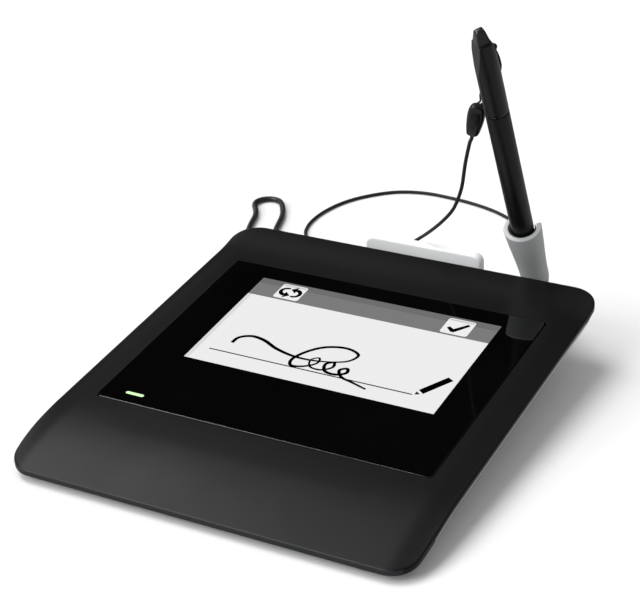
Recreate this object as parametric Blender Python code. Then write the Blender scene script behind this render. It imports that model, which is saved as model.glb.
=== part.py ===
# Signature pad with a wide colour display, a stylus in a rear holder, its tether and its signal cable.
# Metres, +Z up. X runs across the pad, Y from the writer's side to the rear.
# The origin is under the middle of the pad and its holder, on the table.

import math

import bmesh
import bpy
from mathutils import Matrix, Vector

MM = 0.001

# Gaps between pieces that touch, and how far a cutter runs past what it cuts
GAP = 0.3 * MM
OVERRUN = 1.5 * MM
SINK = 0.5 * MM

# Deck: the sloping top plane, whose height is zero at the glass
TILT = math.radians(5.5)
DECK_WIDTH = 167 * MM
DECK_DEPTH = 182.3 * MM
ACROSS = DECK_WIDTH / 167  # a millimetre's worth that follows the deck's width or depth
ALONG = DECK_DEPTH / 182.3
DECK_LIFT = 10.5 * MM  # height of the deck plane above the table at the front edge
FRONT_RADIUS = 9 * MM
REAR_RADIUS = 12 * MM
FRONT_SWEEP = 2.2 * MM  # how far the sides draw in towards the front corners
SWEEP_DEPTH = 24 * MM
PALM_FALL = 5.6 * MM
PALM_DEPTH = 29 * MM
PALM_POWER = 1.7
FLANK_FALL = 0.8 * MM
FLANK_BAND = 10 * MM
REAR_RISE = 1.1 * MM
REAR_BAND = 22 * MM

# Top shell
SHELL_THICK = 2.4 * MM
SHELL_EDGE = 0.5 * MM  # rounding of its rim
SHELL_INSETS = (0.9 * MM, 2 * MM, 4 * MM, 6.5 * MM, 10 * MM, 15 * MM, 22 * MM, 30 * MM)

# Cover glass, flush in the top shell
SIDE_BORDER = 13.3 * ACROSS
REAR_BORDER = 27.8 * ALONG
GLASS_FRONT = 44.8 * ALONG  # from the deck's front edge
GLASS_WIDTH = DECK_WIDTH - 2 * SIDE_BORDER
GLASS_DEPTH = DECK_DEPTH - GLASS_FRONT - REAR_BORDER
GLASS_THICK = 1.1 * MM
GLASS_RADIUS = 1.6 * MM
GLASS_BEVEL = 0.25 * MM

# Display: active area of the five inch, five to three panel
VIEW_SIDE = 16.2 * ACROSS  # from the glass's edges
VIEW_NEAR = 37.5 * ALONG
VIEW_FAR = 7.4 * ALONG
VIEW_WIDTH = GLASS_WIDTH - 2 * VIEW_SIDE
VIEW_DEPTH = GLASS_DEPTH - VIEW_NEAR - VIEW_FAR
VIEW_FRONT = GLASS_FRONT + VIEW_NEAR
PANEL_MARGIN = 3 * MM
PANEL_THICK = 1.3 * MM
LAMP_THICK = 2 * MM
TRAY_WALL = 0.8 * MM

# Digitiser board and its shield, under the display
SENSOR_MARGIN_X = 8 * MM
SENSOR_MARGIN_FRONT = 6 * MM
SENSOR_MARGIN_REAR = 2.4 * MM
SENSOR_THICK = 0.8 * MM
SHIELD_THICK = 0.5 * MM

# Main board
BOARD_SIDE = 10 * ACROSS  # inside the display's edges
BOARD_NEAR = 1.7 * ALONG
BOARD_FAR = 3.1 * ALONG
BOARD_WIDTH = VIEW_WIDTH - 2 * BOARD_SIDE
BOARD_DEPTH = VIEW_DEPTH - BOARD_NEAR - BOARD_FAR
BOARD_FRONT = VIEW_FRONT + BOARD_NEAR
BOARD_THICK = 1.6 * MM
BOARD_DROP = 2.6 * MM  # below the shield
CAN_WIDTH = 24 * MM
CAN_DEPTH = 18 * MM
CAN_THICK = 1.7 * MM
SOCKET_SIDE = 20 * ACROSS  # from the board's left edge
SOCKET_X = SOCKET_SIDE - BOARD_WIDTH / 2
SOCKET_WIDTH = 12 * MM
SOCKET_DEPTH = 9 * MM
SOCKET_THICK = 3.2 * MM
FLEX_WIDTH = 26 * MM
FLEX_THICK = 0.3 * MM
FLEX_REACH = 4.5 * MM
FLEX_LAP = 6 * MM

# Status light
LED_SIDE = 13.5 * ACROSS
LED_ACROSS = LED_SIDE - GLASS_WIDTH / 2
LED_ALONG = GLASS_FRONT + 5.8 * MM
LED_LENGTH = 8.2 * MM
LED_WIDTH = 1.5 * MM
PIPE_DEPTH = 3.2 * MM
LAMP_CHIP = (3.2 * MM, 1.6 * MM, 0.8 * MM)
LAMP_BOARD = (20 * MM, 10 * MM, 0.8 * MM)
LAMP_POST_RADIUS = 1.6 * MM

# Bottom shell: a lip under the top shell's rim, then sides that slope in to a flat base
LIP_INSET = 1.1 * MM
LIP_FRONT = 0.4 * MM
LIP_REAR = 2.4 * MM
TRAY_THICK = 2 * MM
BASE_HEIGHT = 1.5 * MM
BASE_SIDE = 27.5 * ACROSS  # inside the deck's edges
BASE_BACK = 22.3 * ALONG
BASE_WIDTH = DECK_WIDTH - 2 * BASE_SIDE
BASE_FRONT = 7 * MM
BASE_REAR = DECK_DEPTH - BASE_BACK
BASE_RADIUS = 8 * MM

# Screws and their posts, positions measured on the deck
SCREW_RADIUS = 1.2 * MM
SCREW_HEAD_RADIUS = 2.2 * MM
SCREW_HEAD = 1.3 * MM
POST_RADIUS = 3.2 * MM
POST_LENGTH = 4.2 * MM
CASE_SCREW_SIDE = 8 * ACROSS  # inside the base's edges
CASE_SCREW_BACK = 27.1 * ALONG
CASE_SCREW_X = BASE_WIDTH / 2 - CASE_SCREW_SIDE
CASE_SCREW_FRONT = 37 * ALONG
CASE_SCREW_REAR = DECK_DEPTH - CASE_SCREW_BACK
CASE_SCREW_BITE = 3 * MM
BOARD_SCREW_INSET = 5 * MM
BOARD_SCREW_LENGTH = 3.4 * MM

# Rubber feet
FOOT_RADIUS = 5 * MM
FOOT_TALL = 2 * MM
FOOT_POCKET = 0.8 * MM
FOOT_INSET = 12 * MM
FOOT_X = BASE_WIDTH / 2 - FOOT_INSET

# Rear bracket: a tongue under the base that carries an upright plate and the pen holder
PLATE_WIDTH = 53.8 * MM
PLATE_BEHIND = 5.9 * MM  # from the deck's rear edge
PLATE_FACE = DECK_DEPTH + PLATE_BEHIND
PLATE_THICK = 5 * MM
PLATE_TOP = 30.8 * MM
PLATE_BOTTOM = 9.5 * MM
PLATE_RADIUS = 4 * MM
PLATE_BEVEL = 1.1 * MM
STEM_LEFT = -16 * MM
TONGUE_RIGHT = 61 * MM
TONGUE_UNDER = 20.8 * ALONG  # how far it runs in under the deck, and out behind it
TONGUE_BEHIND = 19.7 * MM
TONGUE_FRONT = DECK_DEPTH - TONGUE_UNDER
TONGUE_REAR = DECK_DEPTH + TONGUE_BEHIND
TONGUE_THICK = 2.5 * MM
TONGUE_HEIGHT = 1.2 * MM
SEAT_UNDER = 23.8 * ALONG
SEAT_END = 6.3 * ALONG
SEAT_FRONT = DECK_DEPTH - SEAT_UNDER
SEAT_REAR = DECK_DEPTH - SEAT_END
SEAT_TOP = 9 * MM
TONGUE_LEFT = -26 * MM
BRACKET_SCREW_LENGTH = 6 * MM

# Pen holder: an open-backed tube that leans towards the writer. Its rim's centre is given on the deck.
RIM_X = 49.9 * MM
RIM_BACK = 2.5 * MM  # from the deck's rear edge
RIM_ALONG = DECK_DEPTH - RIM_BACK
RIM_HEIGHT = 25.9 * MM
HOLDER_LEAN = math.radians(25.9)  # from the vertical
HOLDER_RADIUS = 7.75 * MM
HOLDER_WALL = 2.05 * MM
HOLDER_LENGTH = 30 * MM
HOLDER_WAIST = 5.5 * MM
HOLDER_WAIST_AT = HOLDER_LENGTH - 6 * MM
HOLDER_FOOT = 6.5 * MM
HOLDER_FLOOR = 1.2 * MM
HOLDER_SLOT = math.radians(116)
SLOT_DEPTH = HOLDER_LENGTH - 7 * MM
LINER_THICK = 0.45 * MM
LINER_TOP = 0.6 * MM
HOLDER_SCREW_LENGTH = 6.5 * MM

# Stylus, measured along its axis from the holder's rim
PEN_RADIUS = 4.65 * MM
PEN_WALL = 0.9 * MM
NIB_RADIUS = 0.8 * MM
NIB_TRAVEL = 0.8 * MM
NIB_CLEAR = 1.9 * MM  # from the holder's floor
NIB_COLLAR = 1.5 * MM
CONE_LENGTH = 13 * MM
CONE_BOTTOM = HOLDER_FLOOR + 3.8 * MM - HOLDER_LENGTH
CONE_TOP = CONE_BOTTOM + CONE_LENGTH
CONE_TIP_RADIUS = 2.1 * MM
CONE_RADIUS = 3.35 * MM
NECK_RADIUS = 3.9 * MM
SHOULDER_TOP = 0.5 * MM
SEAM_AT = 61.5 * MM
SEAM_RING = 0.5 * MM
BARREL_TOP = 84 * MM
TAIL_TOP = 106.2 * MM
TAIL_WIDTH = 2.6 * MM  # half widths of its end
TAIL_DEEP = 2.3 * MM
EYE_AT = 98 * MM
EYE_RADIUS = 1.0 * MM
COIL_CORE_TOP = 34 * MM
COIL_RADIUS = 2.6 * MM
NIB_HOLE = 1.1 * MM
SENSOR_CAN_LENGTH = 8 * MM
NIB_ROOM = 1.75 * MM
NIB_REACH = 4.2 * MM
PEN_BOARD = (4.4 * MM, 0.8 * MM, 22 * MM)
PEN_TRAVEL = 45 * MM

# Tether: its bead and thin loop hang from the pen, the cord lies behind the pad
TETHER_RADIUS = 0.75 * MM
LOOP_RADIUS = 0.4 * MM
BEAD_WIDTH = 7 * MM
BEAD_DEEP = 4.6 * MM
BEAD_TOP = (39.3 * MM, -28.9 * MM, 112.4 * MM)
BEAD_BOTTOM = (36.8 * MM, -26.7 * MM, 98.6 * MM)
ANCHOR_RADIUS = 2.2 * MM
ANCHOR_LENGTH = 3.4 * MM
ANCHOR_HEIGHT = 7.5 * MM
TETHER_ROUTE = [
    (35.6 * MM, -25.9 * MM, 95.4 * MM),
    (33.9 * MM, -24.4 * MM, 90.2 * MM),
    (31.9 * MM, -22.0 * MM, 84.2 * MM),
    (29.9 * MM, -18.9 * MM, 78.0 * MM),
    (27.3 * MM, -14.6 * MM, 70.8 * MM),
    (23.4 * MM, -9.3 * MM, 62.8 * MM),
    (18.2 * MM, -3.3 * MM, 54.2 * MM),
    (10.3 * MM, 3.3 * MM, 44.8 * MM),
    (0.6 * MM, 10.5 * MM, 35.1 * MM),
    (-9.0 * MM, 17.3 * MM, 26.4 * MM),
    (-18.0 * MM, 24.1 * MM, 17.2 * MM),
    (-27.0 * MM, 30.7 * MM, 8.4 * MM),
    (-37.0 * MM, 36.7 * MM, 2.6 * MM),
    (-48.0 * MM, 40.5 * MM, 1.0 * MM),
    (-61.0 * MM, 43.7 * MM, 0.9 * MM),
    (-73.5 * MM, 47.3 * MM, 0.9 * MM),
    (-82.5 * MM, 53.3 * MM, 0.9 * MM),
    (-86.8 * MM, 62.3 * MM, 0.9 * MM),
    (-88.5 * MM, 74.7 * MM, 0.9 * MM),
    (-87.3 * MM, 86.9 * MM, 0.9 * MM),
    (-83.6 * MM, 98.7 * MM, 0.9 * MM),
    (-76.0 * MM, 110.4 * MM, 0.9 * MM),
    (-66.0 * MM, 119.3 * MM, 0.9 * MM),
    (-53.0 * MM, 123.5 * MM, 0.9 * MM),
    (-39.0 * MM, 123.1 * MM, 0.9 * MM),
    (-25.0 * MM, 120.7 * MM, 0.9 * MM),
    (-11.5 * MM, 116.0 * MM, 0.9 * MM),
    (0.5 * MM, 108.6 * MM, 0.9 * MM),
    (10.5 * MM, 98.7 * MM, 0.9 * MM),
    (19.5 * MM, 84.7 * MM, 0.9 * MM),
    (27.5 * MM, 67.7 * MM, 0.9 * MM),
    (35.0 * MM, 52.2 * MM, 1.2 * MM),
    (42.0 * MM, 38.7 * MM, 3.0 * MM),
    (47.0 * MM, 30.2 * MM, 5.4 * MM),
]

# Signal cable, with a tapered relief where it leaves the case, a coil out of sight and a plug
CABLE_RADIUS = 1.3 * MM
GLAND_X = -34 * MM
GLAND_HEIGHT = 12.5 * MM
GLAND_LENGTH = 22 * MM
GLAND_RADIUS = 3 * MM
GLAND_ROOT = 4 * MM
GLAND_TURN = math.radians(-96)
COIL_X = -55 * MM
COIL_BEHIND = 10.2 * MM
COIL_Y = DECK_DEPTH + COIL_BEHIND
COIL_MIDDLE = 16.6 * MM
COIL_PITCH = 3.05 * MM
COIL_STEPS = 24
COIL_TURNS = 11.375
COIL_CLIMB_TURNS = 0.5
COIL_ENTRY = math.radians(-135)
TIE_WIDTH = 4 * MM
TIE_THICK = 0.6 * MM
CABLE_ROUTE = [
    (-36.5 * MM, 23.7 * MM, 9.6 * MM),
    (-43.5 * MM, 33.2 * MM, 8.2 * MM),
    (-56.0 * MM, 39.5 * MM, 5.4 * MM),
    (-70.0 * MM, 42.2 * MM, 2.8 * MM),
    (-83.0 * MM, 44.3 * MM, 1.5 * MM),
    (-92.5 * MM, 47.1 * MM, 1.5 * MM),
    (-98.0 * MM, 51.9 * MM, 1.5 * MM),
    (-100.6 * MM, 58.9 * MM, 1.5 * MM),
    (-103.3 * MM, 67.2 * MM, 1.5 * MM),
    (-107.3 * MM, 75.2 * MM, 1.5 * MM),
    (-111.8 * MM, 81.9 * MM, 1.5 * MM),
    (-115.0 * MM, 84.4 * MM, 1.5 * MM),
    (-119.1 * MM, 84.5 * MM, 1.5 * MM),
    (-122.5 * MM, 82.3 * MM, 1.5 * MM),
    (-123.9 * MM, 78.4 * MM, 1.5 * MM),
    (-122.8 * MM, 74.5 * MM, 1.5 * MM),
    (-118.7 * MM, 68.6 * MM, 1.5 * MM),
    (-115.5 * MM, 62.2 * MM, 1.5 * MM),
    (-113.1 * MM, 54.4 * MM, 1.5 * MM),
    (-109.6 * MM, 45.2 * MM, 1.5 * MM),
    (-104.6 * MM, 35.2 * MM, 1.5 * MM),
    (-97.2 * MM, 24.2 * MM, 1.5 * MM),
    (-86.5 * MM, 9.2 * MM, 1.5 * MM),
]
PLUG_GRIP = (15 * MM, 7.6 * MM, 26 * MM)
PLUG_SHELL = (12 * MM, 4.5 * MM, 14 * MM)
PLUG_WALL = 0.4 * MM
PLUG_X = -10 * MM
PLUG_BEHIND = 29.7 * MM
PLUG_Y = DECK_DEPTH + PLUG_BEHIND
TAIL_ROUTE = [
    (-28.0 * MM, 21.2 * MM, 4.4 * MM),
    (-22.0 * MM, 27.7 * MM, 4.2 * MM),
]

# Mesh fineness
CORNER_STEPS = 6
SIDE_SHARES = (0.03, 0.07, 0.12, 0.5, 0.88, 0.94, 0.975)
ROUND_STEPS = 32
CUTTER_TURN = math.radians(5)
PEN_STEPS = 36


# The scene starts empty
for old in list(bpy.data.objects):
    bpy.data.objects.remove(old, do_unlink=True)


# Materials

def material(name, color, roughness, metallic=0.0):
    made = bpy.data.materials.new(name)
    made.use_nodes = True
    shader = made.node_tree.nodes["Principled BSDF"]
    shader.inputs["Base Color"].default_value = (*color, 1.0)
    shader.inputs["Roughness"].default_value = roughness
    shader.inputs["Metallic"].default_value = metallic
    made.diffuse_color = (*color, 1.0)
    return made


CHARCOAL = material("charcoal_case", (0.035, 0.034, 0.035), 0.45)
PALE_GREY = material("pale_grey_case", (0.55, 0.56, 0.57), 0.5)
BLACK_GLASS = material("black_glass", (0.004, 0.004, 0.005), 0.04)
PANEL_GREY = material("display_panel", (0.75, 0.75, 0.75), 0.3)
WHITE_SHEET = material("white_sheet", (0.85, 0.85, 0.82), 0.5)
BOARD_GREEN = material("board_green", (0.02, 0.16, 0.07), 0.5)
SHEET_METAL = material("sheet_metal", (0.62, 0.62, 0.6), 0.35, 1.0)
SCREW_STEEL = material("screw_steel", (0.45, 0.45, 0.46), 0.3, 1.0)
CHIP_BLACK = material("chip_black", (0.02, 0.02, 0.02), 0.5)
FLEX_AMBER = material("flex_amber", (0.5, 0.22, 0.04), 0.4)
LIGHT_GREEN = material("light_green", (0.55, 1.0, 0.5), 0.3)
RUBBER = material("black_rubber", (0.02, 0.02, 0.02), 0.85)
PEN_BLACK = material("pen_black", (0.018, 0.018, 0.019), 0.42)
GLOSS_BLACK = material("gloss_black", (0.01, 0.01, 0.011), 0.15)
CORD_BLACK = material("cord_black", (0.015, 0.015, 0.015), 0.7)
FERRITE = material("ferrite", (0.05, 0.045, 0.045), 0.7)
COPPER = material("copper", (0.7, 0.32, 0.18), 0.35, 1.0)


# Frames: the base stands on the table with y measured from the pad's front edge, and the deck is tilted

def empty(name, parent=None, location=(0, 0, 0), tilt=0.0):
    made = bpy.data.objects.new(name, None)
    bpy.context.collection.objects.link(made)
    made.parent = parent
    made.location = location
    made.rotation_euler = (tilt, 0, 0)
    return made


def on_deck(x, along, height):
    """A deck place in the base's coordinates."""
    y = along * math.cos(TILT) - height * math.sin(TILT)
    z = DECK_LIFT + along * math.sin(TILT) + height * math.cos(TILT)
    return Vector((x, y, z))


def behind(point):
    # a route point, whose Y is measured from the deck's rear edge
    x, y, z = point
    return Vector((x, DECK_DEPTH + y, z))


def base_plane(along, level):
    """Height on the deck's scale of a level plane at a place along the deck."""
    return (level - DECK_LIFT - along * math.sin(TILT)) / math.cos(TILT)


def along_at(y, level):
    """Place along the deck, measured square to it, of a point with this y and this height."""
    return y * math.cos(TILT) + (level - DECK_LIFT) * math.sin(TILT)


FRONT_Y = (PALM_FALL + SHELL_EDGE) * math.sin(TILT)
MIDDLE_Y = (FRONT_Y + TONGUE_REAR) / 2
base = empty("base_frame", None, (0, -MIDDLE_Y, 0))
deck = empty("deck_frame", base, (0, 0, DECK_LIFT), TILT)
rim_place = on_deck(RIM_X, RIM_ALONG, RIM_HEIGHT)
pen_axis = empty("pen_axis", base, rim_place, HOLDER_LEAN)


# Mesh tools

def finish(name, bm, mat, parent):
    """Turns a bmesh into a named object with its faces pointing out."""
    bmesh.ops.recalc_face_normals(bm, faces=bm.faces)
    mesh = bpy.data.meshes.new(name)
    bm.to_mesh(mesh)
    bm.free()
    made = bpy.data.objects.new(name, mesh)
    bpy.context.collection.objects.link(made)
    made.parent = parent
    if mat:
        mesh.materials.append(mat)
        mesh.shade_smooth()
        mesh.set_sharp_from_angle(angle=math.radians(35))
    return made


def loft(name, rings, mat, parent=None, closed=False):
    """A body through rings of equal count. Its two ends are capped, unless the last ring joins the first."""
    bm = bmesh.new()
    rows = [[bm.verts.new(p) for p in ring] for ring in rings]
    pairs = list(zip(rows, rows[1:]))
    if closed:
        pairs.append((rows[-1], rows[0]))
    for low, high in pairs:
        for i in range(len(low)):
            j = (i + 1) % len(low)
            bm.faces.new((low[i], low[j], high[j], high[i]))
    if not closed:
        bm.faces.new(rows[0])
        bm.faces.new(rows[-1])
    return finish(name, bm, mat, parent)


def turned(name, profile, mat, parent=None, steps=ROUND_STEPS, hollow=False):
    """A body turned about Z from (radius, height) points: open at the axis, or a hollow loop."""
    bm = bmesh.new()
    verts = [bm.verts.new((r, 0, z)) for r, z in profile]
    edges = [bm.edges.new(pair) for pair in zip(verts, verts[1:])]
    if hollow:
        edges.append(bm.edges.new((verts[-1], verts[0])))
    bmesh.ops.spin(bm, geom=verts + edges, axis=(0, 0, 1), cent=(0, 0, 0),
                   angle=2 * math.pi, steps=steps, use_merge=True)
    bmesh.ops.remove_doubles(bm, verts=bm.verts, dist=GAP / 100)
    return finish(name, bm, mat, parent)


def block(name, low, high, mat, parent=None, bevel=0.0, segments=2):
    """A box between two corners, with an optional bevel on its edges."""
    bm = bmesh.new()
    bmesh.ops.create_cube(bm, size=1)
    size = [high[i] - low[i] for i in range(3)]
    middle = [(high[i] + low[i]) / 2 for i in range(3)]
    bmesh.ops.scale(bm, vec=size, verts=bm.verts)
    bmesh.ops.translate(bm, vec=middle, verts=bm.verts)
    if bevel:
        bmesh.ops.bevel(bm, geom=bm.edges, offset=bevel, segments=segments, profile=0.5,
                        affect="EDGES", clamp_overlap=True)
    return finish(name, bm, mat, parent)


def rod(name, x, along, low, high, radius, mat, parent=None, steps=ROUND_STEPS):
    """A cylinder that stands on its parent's Z."""
    made = turned(name, [(0, low), (radius, low), (radius, high), (0, high)], mat, parent, steps)
    made.location = (x, along, 0)
    return made


def drill(name, x, along, low, high, radius, mat, parent, steps=ROUND_STEPS):
    """A cutting cylinder, turned a little so that its corners don't line up with a post's."""
    made = rod(name, x, along, low, high, radius, mat, parent, steps)
    made.rotation_euler = (0, 0, CUTTER_TURN)
    return made


def stepped(name, x, along, low, seat, high, parent):
    """A screw's clearance: wide for its head up to the seat, narrow for its shank above."""
    wide, narrow = SCREW_HEAD_RADIUS + GAP, SCREW_RADIUS + GAP
    made = turned(name, [(0, low), (wide, low), (wide, seat), (narrow, seat), (narrow, high), (0, high)],
                  None, parent, 16)
    made.location = (x, along, 0)
    made.rotation_euler = (0, 0, CUTTER_TURN)
    return made


def change(target, tool, operation):
    """Adds a Boolean and hides its tool."""
    mod = target.modifiers.new(operation.lower(), "BOOLEAN")
    mod.operation = operation
    mod.object = tool
    mod.solver = "EXACT"
    tool.hide_render = True
    tool.display_type = "WIRE"


def cut(target, tool):
    change(target, tool, "DIFFERENCE")


def join(target, tool):
    change(target, tool, "UNION")


def corner(cx, cy, radius, start, steps=CORNER_STEPS):
    """Points of a quarter round."""
    return [
        (cx + radius * math.cos(start + a), cy + radius * math.sin(start + a))
        for a in (math.pi / 2 * i / steps for i in range(steps + 1))
    ]


def outline(half, front, rear, front_radius, rear_radius, shares=()):
    """A rounded rectangle from its front edge's left end, anticlockwise, with extra points down the sides."""
    low, high = front + front_radius, rear - rear_radius
    right = [(half, low + (high - low) * s) for s in shares]
    left = [(-x, y) for x, y in reversed(right)]
    points = corner(-half + front_radius, front + front_radius, front_radius, math.pi)
    points += corner(half - front_radius, front + front_radius, front_radius, -math.pi / 2)
    points += right
    points += corner(half - rear_radius, rear - rear_radius, rear_radius, 0)
    points += corner(-half + rear_radius, rear - rear_radius, rear_radius, math.pi / 2)
    points += left
    return points


def flat(points, height):
    return [(x, y, height) for x, y in points]


def smooth_step(t):
    t = min(max(t, 0.0), 1.0)
    return t * t * (3 - 2 * t)


def smooth_path(route, spacing):
    """Evenly spaced points on a smooth curve through a route's points."""
    points = [Vector(p) for p in route]
    ends = [points[0] * 2 - points[1], *points, points[-1] * 2 - points[-2]]
    fine = []
    for p0, p1, p2, p3 in zip(ends, ends[1:], ends[2:], ends[3:]):
        t1 = (p1 - p0).length ** 0.5
        t2 = t1 + (p2 - p1).length ** 0.5
        t3 = t2 + (p3 - p2).length ** 0.5
        for k in range(20):
            t = t1 + (t2 - t1) * k / 20
            a1 = p0 * ((t1 - t) / t1) + p1 * (t / t1)
            a2 = p1 * ((t2 - t) / (t2 - t1)) + p2 * ((t - t1) / (t2 - t1))
            a3 = p2 * ((t3 - t) / (t3 - t2)) + p3 * ((t - t2) / (t3 - t2))
            b1 = a1 * ((t2 - t) / t2) + a2 * (t / t2)
            b2 = a2 * ((t3 - t) / (t3 - t1)) + a3 * ((t - t1) / (t3 - t1))
            fine.append(b1 * ((t2 - t) / (t2 - t1)) + b2 * ((t - t1) / (t2 - t1)))
    fine.append(points[-1])
    lengths = [0.0]
    for a, b in zip(fine, fine[1:]):
        lengths.append(lengths[-1] + (b - a).length)
    count = max(2, round(lengths[-1] / spacing))
    even, k = [], 0
    for i in range(count + 1):
        want = lengths[-1] * i / count
        while k < len(fine) - 2 and lengths[k + 1] < want:
            k += 1
        step = lengths[k + 1] - lengths[k]
        even.append(fine[k].lerp(fine[k + 1], (want - lengths[k]) / step))
    return even, lengths[-1]


def tube(name, points, radius, mat, parent, sides_step=2):
    """A cord: a bevelled poly curve with filled ends."""
    curve = bpy.data.curves.new(name, "CURVE")
    curve.dimensions = "3D"
    curve.bevel_depth = radius
    curve.bevel_resolution = sides_step
    curve.use_fill_caps = True
    curve.materials.append(mat)
    spline = curve.splines.new("POLY")
    spline.points.add(len(points[1:]))
    for point, place in zip(spline.points, points):
        point.co = (*place, 1)
    made = bpy.data.objects.new(name, curve)
    bpy.context.collection.objects.link(made)
    made.parent = parent
    return made


def least_gap(points, radius, apart):
    """Least gap of a wound tube to itself, between points that lie further apart along it than apart."""
    least = 1.0
    for i, a in enumerate(points):
        for b in points[i + apart:]:
            least = min(least, (a - b).length - 2 * radius)
    return least


# Top shell

def deck_height(x, along):
    """Height of the top shell's outside above the glass plane."""
    height = 0.0
    if along < PALM_DEPTH:
        height -= PALM_FALL * (1 - max(along, 0) / PALM_DEPTH) ** PALM_POWER
    rear = smooth_step((along - (DECK_DEPTH - REAR_BAND)) / REAR_BAND)
    flank = smooth_step((abs(x) - (DECK_WIDTH / 2 - FLANK_BAND)) / FLANK_BAND)
    return height - FLANK_FALL * flank * (1 - rear) + REAR_RISE * rear


def deck_outline(inset):
    """The pad's outline, drawn in by inset, with its sides swept in near the front."""
    shrink = 1 - 0.6 * inset / (DECK_WIDTH / 2 - VIEW_WIDTH / 2)
    points = outline(DECK_WIDTH / 2 - inset, inset, DECK_DEPTH - inset,
                     FRONT_RADIUS * shrink, REAR_RADIUS * shrink, SIDE_SHARES)
    swept = []
    for x, along in points:
        reach = max(0.0, 1 - along / SWEEP_DEPTH) ** 2
        swept.append((x - math.copysign(FRONT_SWEEP * reach, x), along))
    return swept


def deck_ring(inset, drop):
    return [(x, a, deck_height(x, a) - drop) for x, a in deck_outline(inset)]


def top_shell():
    rings = [deck_ring(i, 0) for i in reversed(SHELL_INSETS)]
    rings.append(deck_ring(SHELL_EDGE / 3, SHELL_EDGE / 3))
    rings.append(deck_ring(0, SHELL_EDGE))
    rings.append(deck_ring(0, SHELL_THICK))
    rings += [deck_ring(i, SHELL_THICK) for i in SHELL_INSETS[1::2]]
    shell = loft("top_shell", rings, CHARCOAL, deck)
    pocket = outline(GLASS_WIDTH / 2 + GAP, GLASS_FRONT - GAP, GLASS_FRONT + GLASS_DEPTH + GAP,
                     GLASS_RADIUS, GLASS_RADIUS)
    floor = -GLASS_THICK - GAP
    cut(shell, loft("glass_pocket_cutter", [flat(pocket, floor), flat(pocket, OVERRUN)], None, deck))
    margin = PANEL_MARGIN + 2 * GAP
    window = block("window_cutter",
                   (-VIEW_WIDTH / 2 - margin, VIEW_FRONT - margin, -SHELL_THICK - OVERRUN),
                   (VIEW_WIDTH / 2 + margin, VIEW_FRONT + VIEW_DEPTH + margin, OVERRUN), None, deck)
    cut(shell, window)
    slot = capsule_points(LED_LENGTH / 2 + GAP, LED_WIDTH / 2 + GAP)
    cut(shell, loft("light_slot_cutter", [flat(slot, -SHELL_THICK - OVERRUN), flat(slot, OVERRUN)],
                    None, deck))
    for name, x, along in case_screw_places():
        post = rod("post_" + name, x, along, -SHELL_THICK - POST_LENGTH, -SHELL_THICK + SINK,
                   POST_RADIUS, None, deck, 16)
        join(shell, post)
        hole = drill("post_hole_" + name, x, along, -SHELL_THICK - POST_LENGTH - OVERRUN,
                   -SHELL_THICK - POST_LENGTH + CASE_SCREW_BITE + GAP, SCREW_RADIUS + GAP,
                   None, deck, 16)
        cut(shell, hole)
    for name, x in lamp_post_places():
        join(shell, rod("lamp_post_" + name, x, LED_ALONG, lamp_board_top() + GAP,
                        -SHELL_THICK + SINK, LAMP_POST_RADIUS, None, deck, 16))
    return shell


def capsule_points(half, radius, steps=8):
    """A slot outline about the status light's place."""
    right = [(math.cos(a), math.sin(a)) for a in (math.pi * (i / steps - 0.5) for i in range(steps + 1))]
    reach = half - radius
    points = [(LED_ACROSS + reach + radius * c, LED_ALONG + radius * s) for c, s in right]
    points += [(LED_ACROSS - reach - radius * c, LED_ALONG - radius * s) for c, s in right]
    return points


def case_screw_places():
    return [
        ("front_left", -CASE_SCREW_X, CASE_SCREW_FRONT),
        ("front_right", CASE_SCREW_X, CASE_SCREW_FRONT),
        ("rear_left", -CASE_SCREW_X, CASE_SCREW_REAR),
        ("rear_right", CASE_SCREW_X, CASE_SCREW_REAR),
    ]


def lamp_board_top():
    """The light's board sits below its chip and the light pipe."""
    return -GLASS_THICK - GAP - PIPE_DEPTH - GAP - LAMP_CHIP[2] - GAP


def lamp_post_places():
    reach = LAMP_BOARD[0] / 2 - LAMP_POST_RADIUS
    return [("left", LED_ACROSS - reach), ("right", LED_ACROSS + reach)]


# Glass and display

def cover_glass():
    half = GLASS_WIDTH / 2
    front, rear = GLASS_FRONT, GLASS_FRONT + GLASS_DEPTH
    radius = GLASS_RADIUS
    full = outline(half, front, rear, radius, radius)
    bevel = GLASS_BEVEL
    trimmed = outline(half - bevel, front + bevel, rear - bevel, radius - bevel, radius - bevel)
    rings = [flat(full, -GLASS_THICK), flat(full, -bevel), flat(trimmed, 0)]
    return loft("cover_glass", rings, BLACK_GLASS, deck)


def stack():
    """Heights of the layers under the glass, each with its top and bottom."""
    levels = {}
    top = -GLASS_THICK - GAP
    levels["panel"] = (top, top - PANEL_THICK)
    top = levels["panel"][1] - GAP
    levels["lamp"] = (top, top - LAMP_THICK)
    top = levels["lamp"][1] - GAP
    levels["tray"] = (-SHELL_THICK - GAP, top - TRAY_WALL)
    top = levels["tray"][1] - GAP
    levels["sensor"] = (top, top - SENSOR_THICK)
    top = levels["sensor"][1] - GAP
    levels["shield"] = (top, top - SHIELD_THICK)
    top = levels["shield"][1] - BOARD_DROP
    levels["board"] = (top, top - BOARD_THICK)
    return levels


LEVELS = stack()


def sheet(name, half, front, rear, level, mat, bevel=0.0):
    top, bottom = LEVELS[level]
    return block(name, (-half, front, bottom), (half, rear, top), mat, deck, bevel, 1)


def panel_limits():
    half = VIEW_WIDTH / 2 + PANEL_MARGIN
    return half, VIEW_FRONT - PANEL_MARGIN, VIEW_FRONT + VIEW_DEPTH + PANEL_MARGIN


def sensor_limits():
    front = VIEW_FRONT - SENSOR_MARGIN_FRONT
    rear = VIEW_FRONT + VIEW_DEPTH + SENSOR_MARGIN_REAR
    return VIEW_WIDTH / 2 + SENSOR_MARGIN_X, front, rear


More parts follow.
